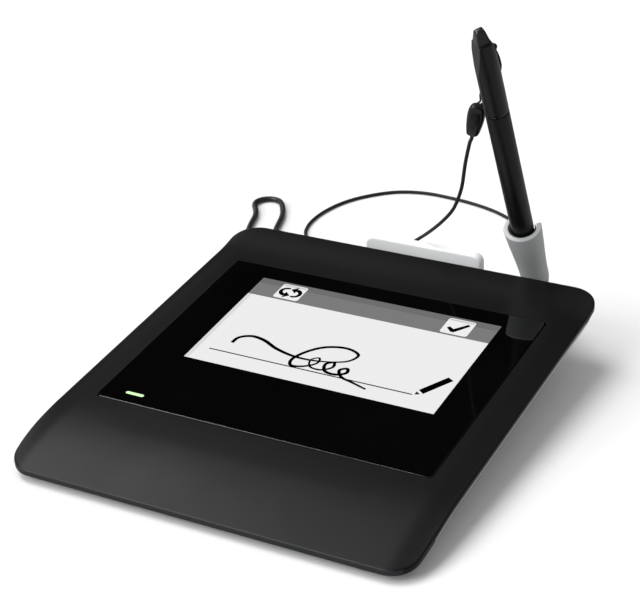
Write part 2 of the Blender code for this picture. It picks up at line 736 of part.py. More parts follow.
def display_stack():
    half, front, rear = panel_limits()
    sheet("lcd_panel", half, front, rear, "panel", PANEL_GREY)
    sheet("backlight_panel", half, front, rear, "lamp", WHITE_SHEET)
    wall = TRAY_WALL + GAP
    tray = sheet("lcd_frame", half + wall, front - wall, rear + wall, "tray", SHEET_METAL)
    floor = LEVELS["tray"][1] + TRAY_WALL
    hollow = block("lcd_frame_cutter", (-half - GAP, front - GAP, floor),
                   (half + GAP, rear + GAP, OVERRUN), None, deck)
    cut(tray, hollow)
    half, front, rear = sensor_limits()
    sheet("sensor_board", half, front, rear, "sensor", BOARD_GREEN)
    sheet("shield_plate", half, front, rear, "shield", SHEET_METAL)


def display_flex():
    """The ribbon from the display's front edge round the sensor board to the main board."""
    start = panel_limits()[1] - TRAY_WALL - GAP - GAP
    lowest = LEVELS["board"][0] + GAP
    nose = sensor_limits()[1] - FLEX_REACH
    top = LEVELS["tray"][0] - GAP
    route = [(start, top), (nose + FLEX_REACH / 2, top), (nose, top - FLEX_REACH / 2),
             (nose, lowest + FLEX_REACH / 2), (nose + FLEX_REACH / 2, lowest),
             (BOARD_FRONT + FLEX_LAP, lowest)]
    outer = [(a, h) for a, h in route]
    shift = [(0, -1), (1, -1), (1, -1), (1, 1), (1, 1), (0, 1)]
    inner = [(a + FLEX_THICK * da, h + FLEX_THICK * dh) for (a, h), (da, dh) in zip(route, shift)]
    loop = outer + inner[::-1]
    half = FLEX_WIDTH / 2
    rings = [[(x, a, h) for a, h in loop] for x in (-half, half)]
    return loft("display_flex", rings, FLEX_AMBER, deck)


# Status light

def status_light():
    top = -GLASS_THICK - GAP
    shape = capsule_points(LED_LENGTH / 2, LED_WIDTH / 2)
    loft("light_pipe", [flat(shape, top - PIPE_DEPTH), flat(shape, top)], LIGHT_GREEN, deck)
    chip_top = top - PIPE_DEPTH - GAP
    board_top = lamp_board_top()
    long, wide, thick = LAMP_CHIP
    block("status_led", (LED_ACROSS - long / 2, LED_ALONG - wide / 2, board_top + GAP),
          (LED_ACROSS + long / 2, LED_ALONG + wide / 2, chip_top), LIGHT_GREEN, deck)
    long, wide, thick = LAMP_BOARD
    block("led_board", (LED_ACROSS - long / 2, LED_ALONG - wide / 2, board_top - thick),
          (LED_ACROSS + long / 2, LED_ALONG + wide / 2, board_top), BOARD_GREEN, deck)


# Bottom shell

def base_outline(inset, level):
    """The flat base's outline on the deck's scale, at a level height above the table."""
    points = outline(BASE_WIDTH / 2 - inset, BASE_FRONT + inset, BASE_REAR - inset,
                     BASE_RADIUS - inset / 2, BASE_RADIUS - inset / 2, SIDE_SHARES)
    return [(x, along_at(y, level), base_plane(along_at(y, level), level)) for x, y in points]


def lip_ring(inset, drop_front, drop_rear):
    ring = []
    for x, along in deck_outline(inset):
        share = min(max(along / DECK_DEPTH, 0.0), 1.0)
        drop = drop_front + (drop_rear - drop_front) * share
        ring.append((x, along, deck_height(x, along) - drop))
    return ring


def bottom_shell():
    under = SHELL_THICK + GAP
    wall = TRAY_THICK
    rings = [
        base_outline(wall, BASE_HEIGHT + wall),
        lip_ring(LIP_INSET + wall, under + LIP_FRONT, under + LIP_REAR),
        lip_ring(LIP_INSET + wall, under, under),
        lip_ring(LIP_INSET, under, under),
        lip_ring(LIP_INSET, under + LIP_FRONT, under + LIP_REAR),
        base_outline(0, BASE_HEIGHT),
    ]
    shell = loft("bottom_shell", rings, PALE_GREY, deck)
    seat = block("bracket_seat", (TONGUE_LEFT - wall, SEAT_FRONT, BASE_HEIGHT + wall - SINK),
                 (TONGUE_RIGHT + wall, SEAT_REAR, SEAT_TOP), None, base)
    join(shell, seat)
    for name, x, along in case_screw_places():
        post_end = -SHELL_THICK - POST_LENGTH - GAP
        floor = base_plane(along, BASE_HEIGHT + wall - SINK)
        join(shell, rod("boss_" + name, x, along, floor, post_end, POST_RADIUS, None, deck, 16))
        below = base_plane(along, BASE_HEIGHT) - OVERRUN
        seat = base_plane(along, BASE_HEIGHT) + SCREW_HEAD + 2 * GAP
        cut(shell, stepped("boss_hole_" + name, x, along, below, seat, post_end + OVERRUN, deck))
    for name, x, along in board_screw_places():
        floor = base_plane(along, BASE_HEIGHT + wall - SINK)
        top = LEVELS["board"][1] - GAP
        join(shell, rod("board_boss_" + name, x, along, floor, top, POST_RADIUS, None, deck, 16))
        cut(shell, drill("board_hole_" + name, x, along, top - BOARD_SCREW_LENGTH,
                       top + OVERRUN, SCREW_RADIUS + GAP, None, deck, 16))
    for name, x, y in foot_places():
        hole = drill("foot_pocket_" + name, x, y, -OVERRUN, BASE_HEIGHT + FOOT_POCKET,
                   FOOT_RADIUS + GAP, None, base)
        cut(shell, hole)
    keep = tongue_top() + GAP
    cut(shell, block("tongue_room", (TONGUE_LEFT - GAP, TONGUE_FRONT - GAP, -OVERRUN),
                     (TONGUE_RIGHT + GAP, TONGUE_REAR, keep), None, base))
    for name, x, y in bracket_screw_places():
        cut(shell, drill("bracket_hole_" + name, x, y, 0,
                         TONGUE_HEIGHT + bracket_recess() + BRACKET_SCREW_LENGTH + GAP,
                         SCREW_RADIUS + GAP, None, base, 16))
    bore = CABLE_RADIUS + 2 * GAP
    port = turned("cable_port_cutter", [(0, -GLAND_ROOT), (bore, -GLAND_ROOT), (bore, GLAND_LENGTH),
                                        (0, GLAND_LENGTH)], None, base)
    port.location = (GLAND_X, gland_root_y(), GLAND_HEIGHT)
    port.rotation_euler = (GLAND_TURN, 0, 0)
    cut(shell, port)
    return shell


def foot_places():
    rear = BASE_REAR - FOOT_INSET
    front = BASE_FRONT + FOOT_INSET
    return [("front_left", -FOOT_X, front), ("front_right", FOOT_X, front),
            ("rear_left", -FOOT_X, rear), ("rear_right", FOOT_X, rear)]


def feet():
    top = BASE_HEIGHT + FOOT_POCKET - GAP
    for name, x, y in foot_places():
        foot = turned("rubber_foot_" + name, [(0, 0), (FOOT_RADIUS - GAP, 0), (FOOT_RADIUS, GAP),
                                               (FOOT_RADIUS, top), (0, top)], RUBBER, base)
        foot.location = (x, y, 0)


# Main board

def board_screw_places():
    rear = BOARD_FRONT + BOARD_DEPTH
    x = BOARD_WIDTH / 2 - BOARD_SCREW_INSET
    return [("front_left", -x, BOARD_FRONT + BOARD_SCREW_INSET),
            ("front_right", x, BOARD_FRONT + BOARD_SCREW_INSET),
            ("rear_left", -x, rear - BOARD_SCREW_INSET),
            ("rear_right", x, rear - BOARD_SCREW_INSET)]


def main_board():
    top, bottom = LEVELS["board"]
    rear = BOARD_FRONT + BOARD_DEPTH
    board = sheet("main_board", BOARD_WIDTH / 2, BOARD_FRONT, rear, "board", BOARD_GREEN)
    for name, x, along in board_screw_places():
        cut(board, drill("board_eye_" + name, x, along, bottom - OVERRUN, top + OVERRUN,
                       SCREW_RADIUS + GAP, None, deck, 16))
    middle = BOARD_FRONT + BOARD_DEPTH / 2
    block("processor_can", (-CAN_WIDTH / 2, middle - CAN_DEPTH / 2, top + GAP),
          (CAN_WIDTH / 2, middle + CAN_DEPTH / 2, top + GAP + CAN_THICK), SHEET_METAL, deck, GAP, 1)
    block("cable_socket", (SOCKET_X - SOCKET_WIDTH / 2, rear - SOCKET_DEPTH, bottom - GAP - SOCKET_THICK),
          (SOCKET_X + SOCKET_WIDTH / 2, rear, bottom - GAP), CHIP_BLACK, deck, GAP, 1)


def screw(name, head_at, length, mat, parent, flip=1):
    """A pan head screw. Its head stands at head_at and its shank runs away from it; flip 1 points up."""
    h = SCREW_HEAD
    shape = [(0, length), (SCREW_RADIUS * 0.6, length), (SCREW_RADIUS, length - SCREW_RADIUS),
             (SCREW_RADIUS, 0), (SCREW_HEAD_RADIUS, 0), (SCREW_HEAD_RADIUS, -h * 0.6),
             (SCREW_HEAD_RADIUS * 0.75, -h), (0, -h)]
    shape = [(r, z * flip) for r, z in shape]
    made = turned(name, shape, mat, parent, 12)
    made.location = head_at
    return made


def screws():
    for name, x, along in case_screw_places():
        seat = base_plane(along, BASE_HEIGHT) + SCREW_HEAD + GAP
        top = -SHELL_THICK - POST_LENGTH + CASE_SCREW_BITE
        screw("case_screw_" + name, (x, along, seat), top - seat, SCREW_STEEL, deck)
    top = LEVELS["board"][0]
    for name, x, along in board_screw_places():
        screw("board_screw_" + name, (x, along, top + GAP), BOARD_THICK + BOARD_SCREW_LENGTH - GAP,
              SCREW_STEEL, deck, -1)
    for name, x, y in bracket_screw_places():
        screw("bracket_screw_" + name, (x, y, TONGUE_HEIGHT + bracket_recess()),
              BRACKET_SCREW_LENGTH, SCREW_STEEL, base)


# Rear bracket

def tongue_top():
    return TONGUE_HEIGHT + TONGUE_THICK


def bracket_recess():
    """How deep a bracket screw's seat lies above the tongue's underside."""
    return SCREW_HEAD / 2


def bracket_screw_places():
    y = (TONGUE_FRONT + SEAT_REAR) / 2
    return [("left", TONGUE_LEFT + 3 * POST_RADIUS, y), ("right", TONGUE_RIGHT - 3 * POST_RADIUS, y)]


def rear_bracket():
    half = PLATE_WIDTH / 2
    face = [(x, z) for x, z in outline(half, PLATE_BOTTOM, PLATE_TOP, PLATE_BEVEL, PLATE_RADIUS)]
    inner = outline(half - PLATE_BEVEL, PLATE_BOTTOM + PLATE_BEVEL, PLATE_TOP - PLATE_BEVEL,
                    PLATE_BEVEL / 2, PLATE_RADIUS - PLATE_BEVEL)
    soft = PLATE_BEVEL
    rear = PLATE_FACE + PLATE_THICK
    third = 0.3 * soft
    mid = outline(half - third, PLATE_BOTTOM + third, PLATE_TOP - third,
                  PLATE_BEVEL - third / 2, PLATE_RADIUS - third)
    rings = [[(x, PLATE_FACE, z) for x, z in inner],
             [(x, PLATE_FACE + third, z) for x, z in mid],
             [(x, PLATE_FACE + soft, z) for x, z in face],
             [(x, rear - soft, z) for x, z in face],
             [(x, rear - third, z) for x, z in mid],
             [(x, rear, z) for x, z in inner]]
    bracket = loft("rear_bracket", rings, PALE_GREY, base)
    stem = block("bracket_stem", (STEM_LEFT, PLATE_FACE + SINK, TONGUE_HEIGHT + SINK),
                 (-STEM_LEFT, rear - SINK, PLATE_BOTTOM + PLATE_RADIUS), None, base)
    tongue = block("bracket_tongue", (TONGUE_LEFT, TONGUE_FRONT, TONGUE_HEIGHT),
                   (TONGUE_RIGHT, TONGUE_REAR, tongue_top()), None, base)
    join(bracket, stem)
    join(bracket, tongue)
    for name, x, y in bracket_screw_places():
        cut(bracket, stepped("tongue_hole_" + name, x, y, -OVERRUN,
                             TONGUE_HEIGHT + bracket_recess() + GAP, SEAT_TOP, base))
    foot = holder_foot_place()
    cut(bracket, stepped("holder_screw_eye", foot.x, foot.y, -OVERRUN,
                         TONGUE_HEIGHT + bracket_recess() + GAP, SEAT_TOP, base))
    return bracket


# Pen holder

def holder_foot_place():
    """Where the holder's block stands on the tongue, straight under the tube's lower end."""
    drop = HOLDER_LENGTH + GAP
    y = rim_place.y + drop * math.sin(HOLDER_LEAN)
    return Vector((RIM_X, y, tongue_top() + GAP))


def slot_cutter(name, top, bottom, reach, parent):
    """A wedge that opens a tube's rear side."""
    half = HOLDER_SLOT / 2
    arc = [math.pi / 2 - half + HOLDER_SLOT * i / 8 for i in range(9)]
    ring = [(0, 0)] + [(reach * math.cos(a), reach * math.sin(a)) for a in arc]
    return loft(name, [flat(ring, bottom), flat(ring, top)], None, parent)


def pen_holder():
    wall = HOLDER_WALL
    low = -HOLDER_LENGTH
    round_edge = wall / 3
    outer = [
        (HOLDER_FOOT, low), (HOLDER_FOOT, low + HOLDER_FLOOR),
        (HOLDER_WAIST + (HOLDER_FOOT - HOLDER_WAIST) * 0.35, -HOLDER_WAIST_AT - wall),
        (HOLDER_WAIST, -HOLDER_WAIST_AT + wall),
        (HOLDER_WAIST + (HOLDER_RADIUS - HOLDER_WAIST) * 0.6, -HOLDER_WAIST_AT * 0.45),
        (HOLDER_RADIUS, -round_edge), (HOLDER_RADIUS - round_edge / 2, 0),
    ]
    bore = HOLDER_RADIUS - wall
    inner = [(bore + round_edge / 2, 0), (bore, -round_edge),
             (HOLDER_WAIST + (HOLDER_RADIUS - HOLDER_WAIST) * 0.6 - wall, -HOLDER_WAIST_AT * 0.45),
             (HOLDER_WAIST - wall, -HOLDER_WAIST_AT + wall),
             (HOLDER_WAIST - wall, low + HOLDER_FLOOR)]
    profile = [(0, low)] + outer + inner + [(0, low + HOLDER_FLOOR)]
    tube_body = turned("pen_holder", profile, PALE_GREY, pen_axis, PEN_STEPS)
    cut(tube_body, slot_cutter("holder_slot_cutter", OVERRUN, -SLOT_DEPTH,
                               2 * HOLDER_RADIUS, pen_axis))
    return tube_body


def holder_liner():
    """The dark sleeve inside the holder, open at the rear like the tube."""
    out = HOLDER_RADIUS - HOLDER_WALL - GAP
    low_out = HOLDER_WAIST + (HOLDER_RADIUS - HOLDER_WAIST) * 0.6 - HOLDER_WALL - GAP
    low = -HOLDER_WAIST_AT * 0.45
    profile = [(out, -LINER_TOP), (low_out, low), (low_out - LINER_THICK, low),
               (out - LINER_THICK, -LINER_TOP)]
    liner = turned("holder_liner", profile, RUBBER, pen_axis, PEN_STEPS, hollow=True)
    cut(liner, slot_cutter("liner_slot_cutter", OVERRUN, -SLOT_DEPTH, 2 * HOLDER_RADIUS, pen_axis))
    return liner


def holder_block():
    """The post between the bracket's tongue and the holder tube, with a hole for its screw."""
    foot = holder_foot_place()
    steps = 4 * CORNER_STEPS
    tip = Matrix.Translation(rim_place) @ Matrix.Rotation(HOLDER_LEAN, 4, "X")
    low = -HOLDER_LENGTH - GAP
    angles = [2 * math.pi * i / steps for i in range(steps)]
    top = [tip @ Vector((HOLDER_FOOT * math.cos(a), HOLDER_FOOT * math.sin(a), low)) for a in angles]
    bottom = [Vector((foot.x + 1.1 * HOLDER_FOOT * math.cos(a), foot.y + 1.1 * HOLDER_FOOT * math.sin(a),
                      foot.z)) for a in angles]
    middle = [b.lerp(t, 0.35) for b, t in zip(bottom, top)]
    post = loft("holder_base", [bottom, middle, top], PALE_GREY, base)
    cut(post, drill("holder_base_hole", foot.x, foot.y, 0,
                    TONGUE_HEIGHT + bracket_recess() + HOLDER_SCREW_LENGTH + GAP,
                    SCREW_RADIUS + GAP, None, base, 16))
    screw("holder_screw", (foot.x, foot.y, TONGUE_HEIGHT + bracket_recess()), HOLDER_SCREW_LENGTH,
          SCREW_STEEL, base)
    return post


# Stylus

def stylus():
    r, w = PEN_RADIUS, PEN_WALL
    cone = [
        (NIB_HOLE, CONE_BOTTOM), (CONE_TIP_RADIUS, CONE_BOTTOM),
        (CONE_TIP_RADIUS + w / 3, CONE_BOTTOM + w), (CONE_RADIUS, CONE_TOP - GAP),
        (CONE_RADIUS - w, CONE_TOP - GAP), (NIB_ROOM, nib_seat() + NIB_REACH),
        (NIB_ROOM, nib_seat()), (NIB_HOLE, nib_seat()),
    ]
    turned("pen_tip_cone", cone, PEN_BLACK, pen_axis, PEN_STEPS, hollow=True)
    grip = [
        (CONE_RADIUS - w, CONE_TOP), (CONE_RADIUS, CONE_TOP), (NECK_RADIUS, -r),
        (r - w / 2, -w), (r, SHOULDER_TOP), (r, SEAM_AT - SEAM_RING / 2 - GAP),
        (r - w, SEAM_AT - SEAM_RING / 2 - GAP), (r - w, SHOULDER_TOP + r), (CONE_RADIUS - w, -w),
    ]
    turned("pen_lower_barrel", grip, PEN_BLACK, pen_axis, PEN_STEPS, hollow=True)
    ring = [(r - w, SEAM_AT - SEAM_RING / 2), (r - GAP, SEAM_AT - SEAM_RING / 2),
            (r - GAP, SEAM_AT + SEAM_RING / 2), (r - w, SEAM_AT + SEAM_RING / 2)]
    turned("pen_seam_ring", ring, GLOSS_BLACK, pen_axis, PEN_STEPS, hollow=True)
    upper = [(r - w, SEAM_AT + SEAM_RING / 2 + GAP), (r, SEAM_AT + SEAM_RING / 2 + GAP),
             (r, BARREL_TOP), (r - w, BARREL_TOP)]
    turned("pen_upper_barrel", upper, PEN_BLACK, pen_axis, PEN_STEPS, hollow=True)


def tail_ring(height, half_x, half_y, power):
    """A rounded section of the pen's tail."""
    points = []
    for i in range(PEN_STEPS):
        a = 2 * math.pi * i / PEN_STEPS
        c, s = math.cos(a), math.sin(a)
        x = math.copysign(abs(c) ** power, c) * half_x
        y = math.copysign(abs(s) ** power, s) * half_y
        points.append((x, y, height))
    return points


def pen_tail():
    """The tapered, flat-sided end with the eye for the tether's loop."""
    r = PEN_RADIUS
    start = BARREL_TOP + GAP
    span = TAIL_TOP - start
    edge = TAIL_DEEP / 4
    rings = [
        tail_ring(start, r, r, 1.0),
        tail_ring(start + 0.12 * span, 0.995 * r, 0.98 * r, 0.97),
        tail_ring(start + 0.55 * span, 0.82 * r, 0.8 * r, 0.8),
        tail_ring(TAIL_TOP - edge, TAIL_WIDTH, TAIL_DEEP, 0.7),
        tail_ring(TAIL_TOP, TAIL_WIDTH - edge, TAIL_DEEP - edge, 0.7),
    ]
    tail = loft("pen_tail", rings, GLOSS_BLACK, pen_axis)
    eye = turned("pen_eye_cutter", [(0, -2 * r), (EYE_RADIUS, -2 * r), (EYE_RADIUS, 2 * r), (0, 2 * r)],
                 None, pen_axis, 16)
    eye.location = (0, 0, EYE_AT)
    eye.rotation_euler = (0, math.pi / 2, 0)
    cut(tail, eye)
    return tail


def nib_seat():
    """The cone's inner floor, which stops the nib's collar."""
    return CONE_BOTTOM + 2 * PEN_WALL


def pen_insides():
    """Nib and pressure cell, the resonant coil on its core, and the small board above it."""
    collar = nib_seat() + GAP
    nib_top = nib_seat() + NIB_REACH
    tip = HOLDER_FLOOR + NIB_CLEAR - HOLDER_LENGTH
    turned("pen_nib", [(0, tip), (NIB_RADIUS * 0.6, tip + NIB_RADIUS * 0.3),
                       (NIB_RADIUS, tip + NIB_RADIUS), (NIB_RADIUS, collar),
                       (NIB_COLLAR, collar), (NIB_COLLAR, collar + NIB_RADIUS),
                       (NIB_RADIUS, collar + NIB_RADIUS), (NIB_RADIUS, nib_top), (0, nib_top)],
           PEN_BLACK, pen_axis, 16)
    cell = nib_top + NIB_TRAVEL + GAP
    cell_radius = CONE_RADIUS - PEN_WALL - 2 * GAP
    cell_top = CONE_TOP + SENSOR_CAN_LENGTH
    turned("pressure_cell", [(0, cell), (cell_radius, cell), (cell_radius, cell_top), (0, cell_top)],
           SHEET_METAL, pen_axis, 16)
    core = cell_top + GAP
    slim = COIL_RADIUS - PEN_WALL
    turned("coil_core", [(0, core), (cell_radius, core), (cell_radius, -PEN_WALL),
                         (slim, 0), (slim, COIL_CORE_TOP), (0, COIL_CORE_TOP)],
           FERRITE, pen_axis, 16)
    out = COIL_RADIUS + PEN_WALL - GAP
    low = SHOULDER_TOP + PEN_RADIUS + GAP
    turned("coil_winding", [(slim + GAP, low), (out, low), (out, COIL_CORE_TOP - GAP),
                            (slim + GAP, COIL_CORE_TOP - GAP)], COPPER, pen_axis, 24, hollow=True)
    wide, thick, long = PEN_BOARD
    start = COIL_CORE_TOP + GAP
    block("pen_board", (-wide / 2, -thick / 2, start), (wide / 2, thick / 2, start + long),
          BOARD_GREEN, pen_axis)


# Tether

def bead_frame():
    """Base coordinates of the bead, with its long axis along Z."""
    top, bottom = behind(BEAD_TOP), behind(BEAD_BOTTOM)
    axis = (top - bottom).normalized()
    turn = Vector((0, 0, 1)).rotation_difference(axis)
    return Matrix.Translation(bottom) @ turn.to_matrix().to_4x4(), (top - bottom).length


def tether_bead():
    place, length = bead_frame()
    shares = ((0.0, 0.5), (0.06, 0.72), (0.22, 1.0), (0.55, 0.98), (0.85, 0.68), (1.0, 0.4))
    rings = []
    for share, width in shares:
        ring = []
        for i in range(16):
            a = 2 * math.pi * i / 16
            c, s = math.cos(a), math.sin(a)
            x = math.copysign(abs(c) ** 0.7, c) * BEAD_WIDTH / 2 * width
            y = math.copysign(abs(s) ** 0.7, s) * BEAD_DEEP / 2 * (0.5 + 0.5 * width)
            ring.append(place @ Vector((x, y, share * length)))
        rings.append(ring)
    bead = loft("tether_bead", rings, GLOSS_BLACK, base)
    return bead


def loop_route():
    """The thin loop: from the bead up behind the pen, through its eye and back down to the bead."""
    tip = Matrix.Translation(rim_place) @ Matrix.Rotation(HOLDER_LEAN, 4, "X")
    r = PEN_RADIUS
    near = EYE_AT - 2 * r
    right = [Vector((TAIL_WIDTH + 1.2 * EYE_RADIUS, 0, EYE_AT)),
             Vector((1.16 * r, 0.5 * r, near)),
             Vector((0.8 * r, 1.25 * r, near - r)),
             Vector((-0.2 * r, 1.5 * r, near - 2.5 * r))]
    left = [Vector((-TAIL_WIDTH - 1.2 * EYE_RADIUS, 0, EYE_AT)),
            Vector((-1.16 * r, 0.6 * r, near)),
            Vector((-1.2 * r, 1.1 * r, near - r)),
            Vector((-1.5 * r, 1.2 * r, near - 2.5 * r))]
    bead, length = bead_frame()
    gap = GAP + LOOP_RADIUS
    start = bead @ Vector((LOOP_RADIUS + GAP, 0, length + gap))
    end = bead @ Vector((-LOOP_RADIUS - GAP, 0, length + gap))
    rise = Vector((0, 0, r))
    route = [start, start + rise * 0.6] + [tip @ p for p in reversed(right)]
    route += [tip @ Vector((0, 0, EYE_AT))]
    route += [tip @ p for p in left] + [end + rise * 0.6, end]
    return route


def tether():
    tether_bead()
    points, length = smooth_path(loop_route(), 4 * LOOP_RADIUS)
    tube("tether_loop", points, LOOP_RADIUS, CORD_BLACK, base, 1)
    bead, length = bead_frame()
    start = bead @ Vector((0, 0, -GAP))
    straight = bead @ Vector((0, 0, -GAP - 2 * TETHER_RADIUS))
    end = anchor_mouth() + Vector((0, GAP, 0))
    before = end + Vector((0, 2 * TETHER_RADIUS, 0))
    points, length = smooth_path([start, straight, *(behind(p) for p in TETHER_ROUTE), before, end], 7.6 * TETHER_RADIUS)
    print("tether length m", round(length, 4), "points", len(points))
    tube("tether_cord", points, TETHER_RADIUS, CORD_BLACK, base)
    mouth = anchor_mouth()
    anchor = turned("tether_anchor", [(0, -ANCHOR_LENGTH), (ANCHOR_RADIUS, -ANCHOR_LENGTH),
                                      (ANCHOR_RADIUS, -ANCHOR_LENGTH / 2),
                                      (ANCHOR_RADIUS * 0.6, 0), (0, 0)], RUBBER, base, 16)
    anchor.location = mouth
    anchor.rotation_euler = (-math.pi / 2, 0, 0)


def anchor_mouth():
    """Where the cord enters its anchor, on the rear of the holder's block."""
    foot = holder_foot_place()
    return Vector((foot.x, foot.y + 1.1 * HOLDER_FOOT + GAP + ANCHOR_LENGTH, ANCHOR_HEIGHT))


# Signal cable

def rear_slope():
    """How far the bottom shell's rear wall leans back for each unit of height."""
    lip = on_deck(0, DECK_DEPTH - LIP_INSET, REAR_RISE - SHELL_THICK - GAP - LIP_REAR)
    return (lip.y - BASE_REAR) / (lip.z - BASE_HEIGHT)


def gland_root_y():
    """Where the bottom shell's sloping rear meets the cable's axis."""
    return BASE_REAR + (GLAND_HEIGHT - BASE_HEIGHT) * rear_slope()


def coil_reach():
    """How far the spiral runs to either side of its middle radius."""
    return COIL_PITCH * COIL_TURNS / 4


def coil_points():
    """Loops that spiral in, climb a layer about the half turn where they reverse, and spiral out again."""
    half = COIL_TURNS / 2
    least = COIL_MIDDLE - coil_reach()
    low = CABLE_RADIUS + GAP / 2
    points = []
    count = round(COIL_TURNS * COIL_STEPS)
    for i in range(count + 1):
        turn = COIL_TURNS * i / count
        radius = least + COIL_PITCH * abs(turn - half)
        a = COIL_ENTRY + 2 * math.pi * turn
        z = low + COIL_PITCH * smooth_step((turn - half) / COIL_CLIMB_TURNS + 0.5)
        points.append(Vector((COIL_X + radius * math.cos(a), COIL_Y + radius * math.sin(a), z)))
    return points


def cable():
    root = gland_root_y()
    neck = CABLE_RADIUS + GAP
    flange = GAP + GLAND_RADIUS * (rear_slope() - math.tan(GLAND_TURN + math.pi / 2))
    gland = turned("cable_gland", [
        (0, GAP - GLAND_ROOT), (neck, GAP - GLAND_ROOT), (neck, flange), (GLAND_RADIUS, flange),
        (GLAND_RADIUS, flange + GLAND_ROOT), (GLAND_RADIUS * 0.85, flange + 1.2 * GLAND_ROOT),
        (neck, GLAND_LENGTH), (0, GLAND_LENGTH),
    ], RUBBER, base, 20)
    gland.location = (GLAND_X, root, GLAND_HEIGHT)
    gland.rotation_euler = (GLAND_TURN, 0, 0)
    tip = Matrix.Translation((GLAND_X, root, GLAND_HEIGHT)) @ Matrix.Rotation(GLAND_TURN, 4, "X")
    start = tip @ Vector((0, 0, GLAND_LENGTH + GAP))
    straight = tip @ Vector((0, 0, GLAND_LENGTH + GAP + 2 * CABLE_RADIUS))
    coil = coil_points()
    heading = (coil[0] - coil[1]).normalized()
    heading.z = 0
    end = coil[0] + heading * GAP
    before = coil[0] + heading * (GAP + 3 * CABLE_RADIUS)
    points, length = smooth_path([start, straight, *(behind(p) for p in CABLE_ROUTE), before, end], 5 * CABLE_RADIUS)
    print("cable length m", round(length, 4), "points", len(points))
    tube("usb_cable", points, CABLE_RADIUS, CORD_BLACK, base)
    wound = sum((b - a).length for a, b in zip(coil, coil[1:]))
    print("coil length m", round(wound, 4), "least gap mm",
          round(least_gap(coil, CABLE_RADIUS, COIL_STEPS // 2) / MM, 2))
    tube("usb_coil", coil, CABLE_RADIUS, CORD_BLACK, base, 1)
    heading = (coil[-1] - coil[-2]).normalized()
    start = coil[-1] + heading * GAP
    after = coil[-1] + heading * (GAP + 3 * CABLE_RADIUS)
    plug = Vector((PLUG_X, PLUG_Y, PLUG_GRIP[1] / 2 + GAP))
    end = plug - Vector((GAP, 0, 0))
    before = plug - Vector((GAP + 2 * CABLE_RADIUS, 0, 0))
    points, length = smooth_path([start, after, *(behind(p) for p in TAIL_ROUTE), before, end], 5 * CABLE_RADIUS)
    print("cable tail length m", round(length, 4))
    tube("usb_cable_tail", points, CABLE_RADIUS, CORD_BLACK, base)
    usb_plug(plug)


def usb_plug(place):
    wide, tall, long = PLUG_GRIP
    low = place + Vector((0, -wide / 2, -tall / 2))
    high = place + Vector((long, wide / 2, tall / 2))
    block("usb_plug_grip", low, high, RUBBER, base, tall / 5, 2)
    wide, tall, run = PLUG_SHELL
    start = place + Vector((long + GAP, 0, 0))
    low = start + Vector((0, -wide / 2, -tall / 2))
    high = start + Vector((run, wide / 2, tall / 2))
    shell = block("usb_plug_shell", low, high, SHEET_METAL, base)
    inset = Vector((2 * PLUG_WALL, PLUG_WALL, PLUG_WALL))
    past = Vector((OVERRUN, -PLUG_WALL, -PLUG_WALL))
    cut(shell, block("plug_mouth_cutter", low + inset, high + past, None, base))


def coil_tie():
    """A strap round the coil's bundle of turns."""
    outer = COIL_MIDDLE + coil_reach() + CABLE_RADIUS + GAP
    inner = COIL_MIDDLE - coil_reach() - CABLE_RADIUS - GAP
    top = 2 * CABLE_RADIUS + COIL_PITCH + 1.5 * GAP
    half = TIE_WIDTH / 2
    t = TIE_THICK
    loop = [(inner, GAP), (inner, top), (outer, top), (outer, GAP),
            (outer + t, GAP), (outer + t, top + t), (inner - t, top + t), (inner - t, GAP)]
    rings = [[(r, s, z) for r, z in loop] for s in (-half, half)]
    tie = loft("coil_tie", rings, RUBBER, base)
    tie.location = (COIL_X, COIL_Y, 0)
    tie.rotation_euler = (0, 0, math.radians(100))


top_shell()
cover_glass()
display_stack()
display_flex()
status_light()
bottom_shell()
feet()
main_board()
screws()
rear_bracket()
pen_holder()
holder_liner()
holder_block()
stylus()
pen_tail()
pen_insides()
tether()
cable()
coil_tie()
bpy.context.view_layer.update()
print("pad centre from the front edge mm", round(MIDDLE_Y / MM, 2))
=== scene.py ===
import math

import bmesh
import bpy
from mathutils import Matrix, Vector


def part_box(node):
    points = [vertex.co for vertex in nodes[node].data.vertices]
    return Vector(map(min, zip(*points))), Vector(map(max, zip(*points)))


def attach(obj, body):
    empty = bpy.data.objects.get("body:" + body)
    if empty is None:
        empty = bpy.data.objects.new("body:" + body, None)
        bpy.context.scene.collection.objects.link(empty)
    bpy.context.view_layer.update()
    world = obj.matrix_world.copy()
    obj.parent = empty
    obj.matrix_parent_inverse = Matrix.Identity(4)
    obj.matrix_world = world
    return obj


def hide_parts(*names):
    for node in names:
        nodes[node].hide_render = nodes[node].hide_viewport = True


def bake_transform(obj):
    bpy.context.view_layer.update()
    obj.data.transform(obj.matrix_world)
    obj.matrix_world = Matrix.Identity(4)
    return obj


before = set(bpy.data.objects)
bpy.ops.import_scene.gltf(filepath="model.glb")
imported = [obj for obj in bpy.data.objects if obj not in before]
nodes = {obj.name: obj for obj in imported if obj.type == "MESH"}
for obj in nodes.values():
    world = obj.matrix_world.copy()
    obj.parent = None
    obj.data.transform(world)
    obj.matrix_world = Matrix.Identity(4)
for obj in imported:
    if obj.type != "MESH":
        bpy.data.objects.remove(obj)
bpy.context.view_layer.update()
mm = 0.001
touch = 0.3 * mm  # the gap between pieces that meet
quarter = math.pi / 2
fullTurn = 2 * math.pi
corners = ("front_left", "front_right", "rear_left", "rear_right")


def sized(**values):
    # sizes written in millimetres
    return {name: value * mm for name, value in values.items()}


def stand(name, data):
    made = bpy.data.objects.new(name, data)
    bpy.context.collection.objects.link(made)
    return made


# where things stand: the deck is the sloping top plane, the pen axis runs up the middle of the stylus
deckPlace = {"tilt": math.radians(5.5), **sized(lift=10.5, front=-101.292)}
penPlace = {"lean": math.radians(25.9), **sized(x=49.9, along=179.8, height=25.9)}


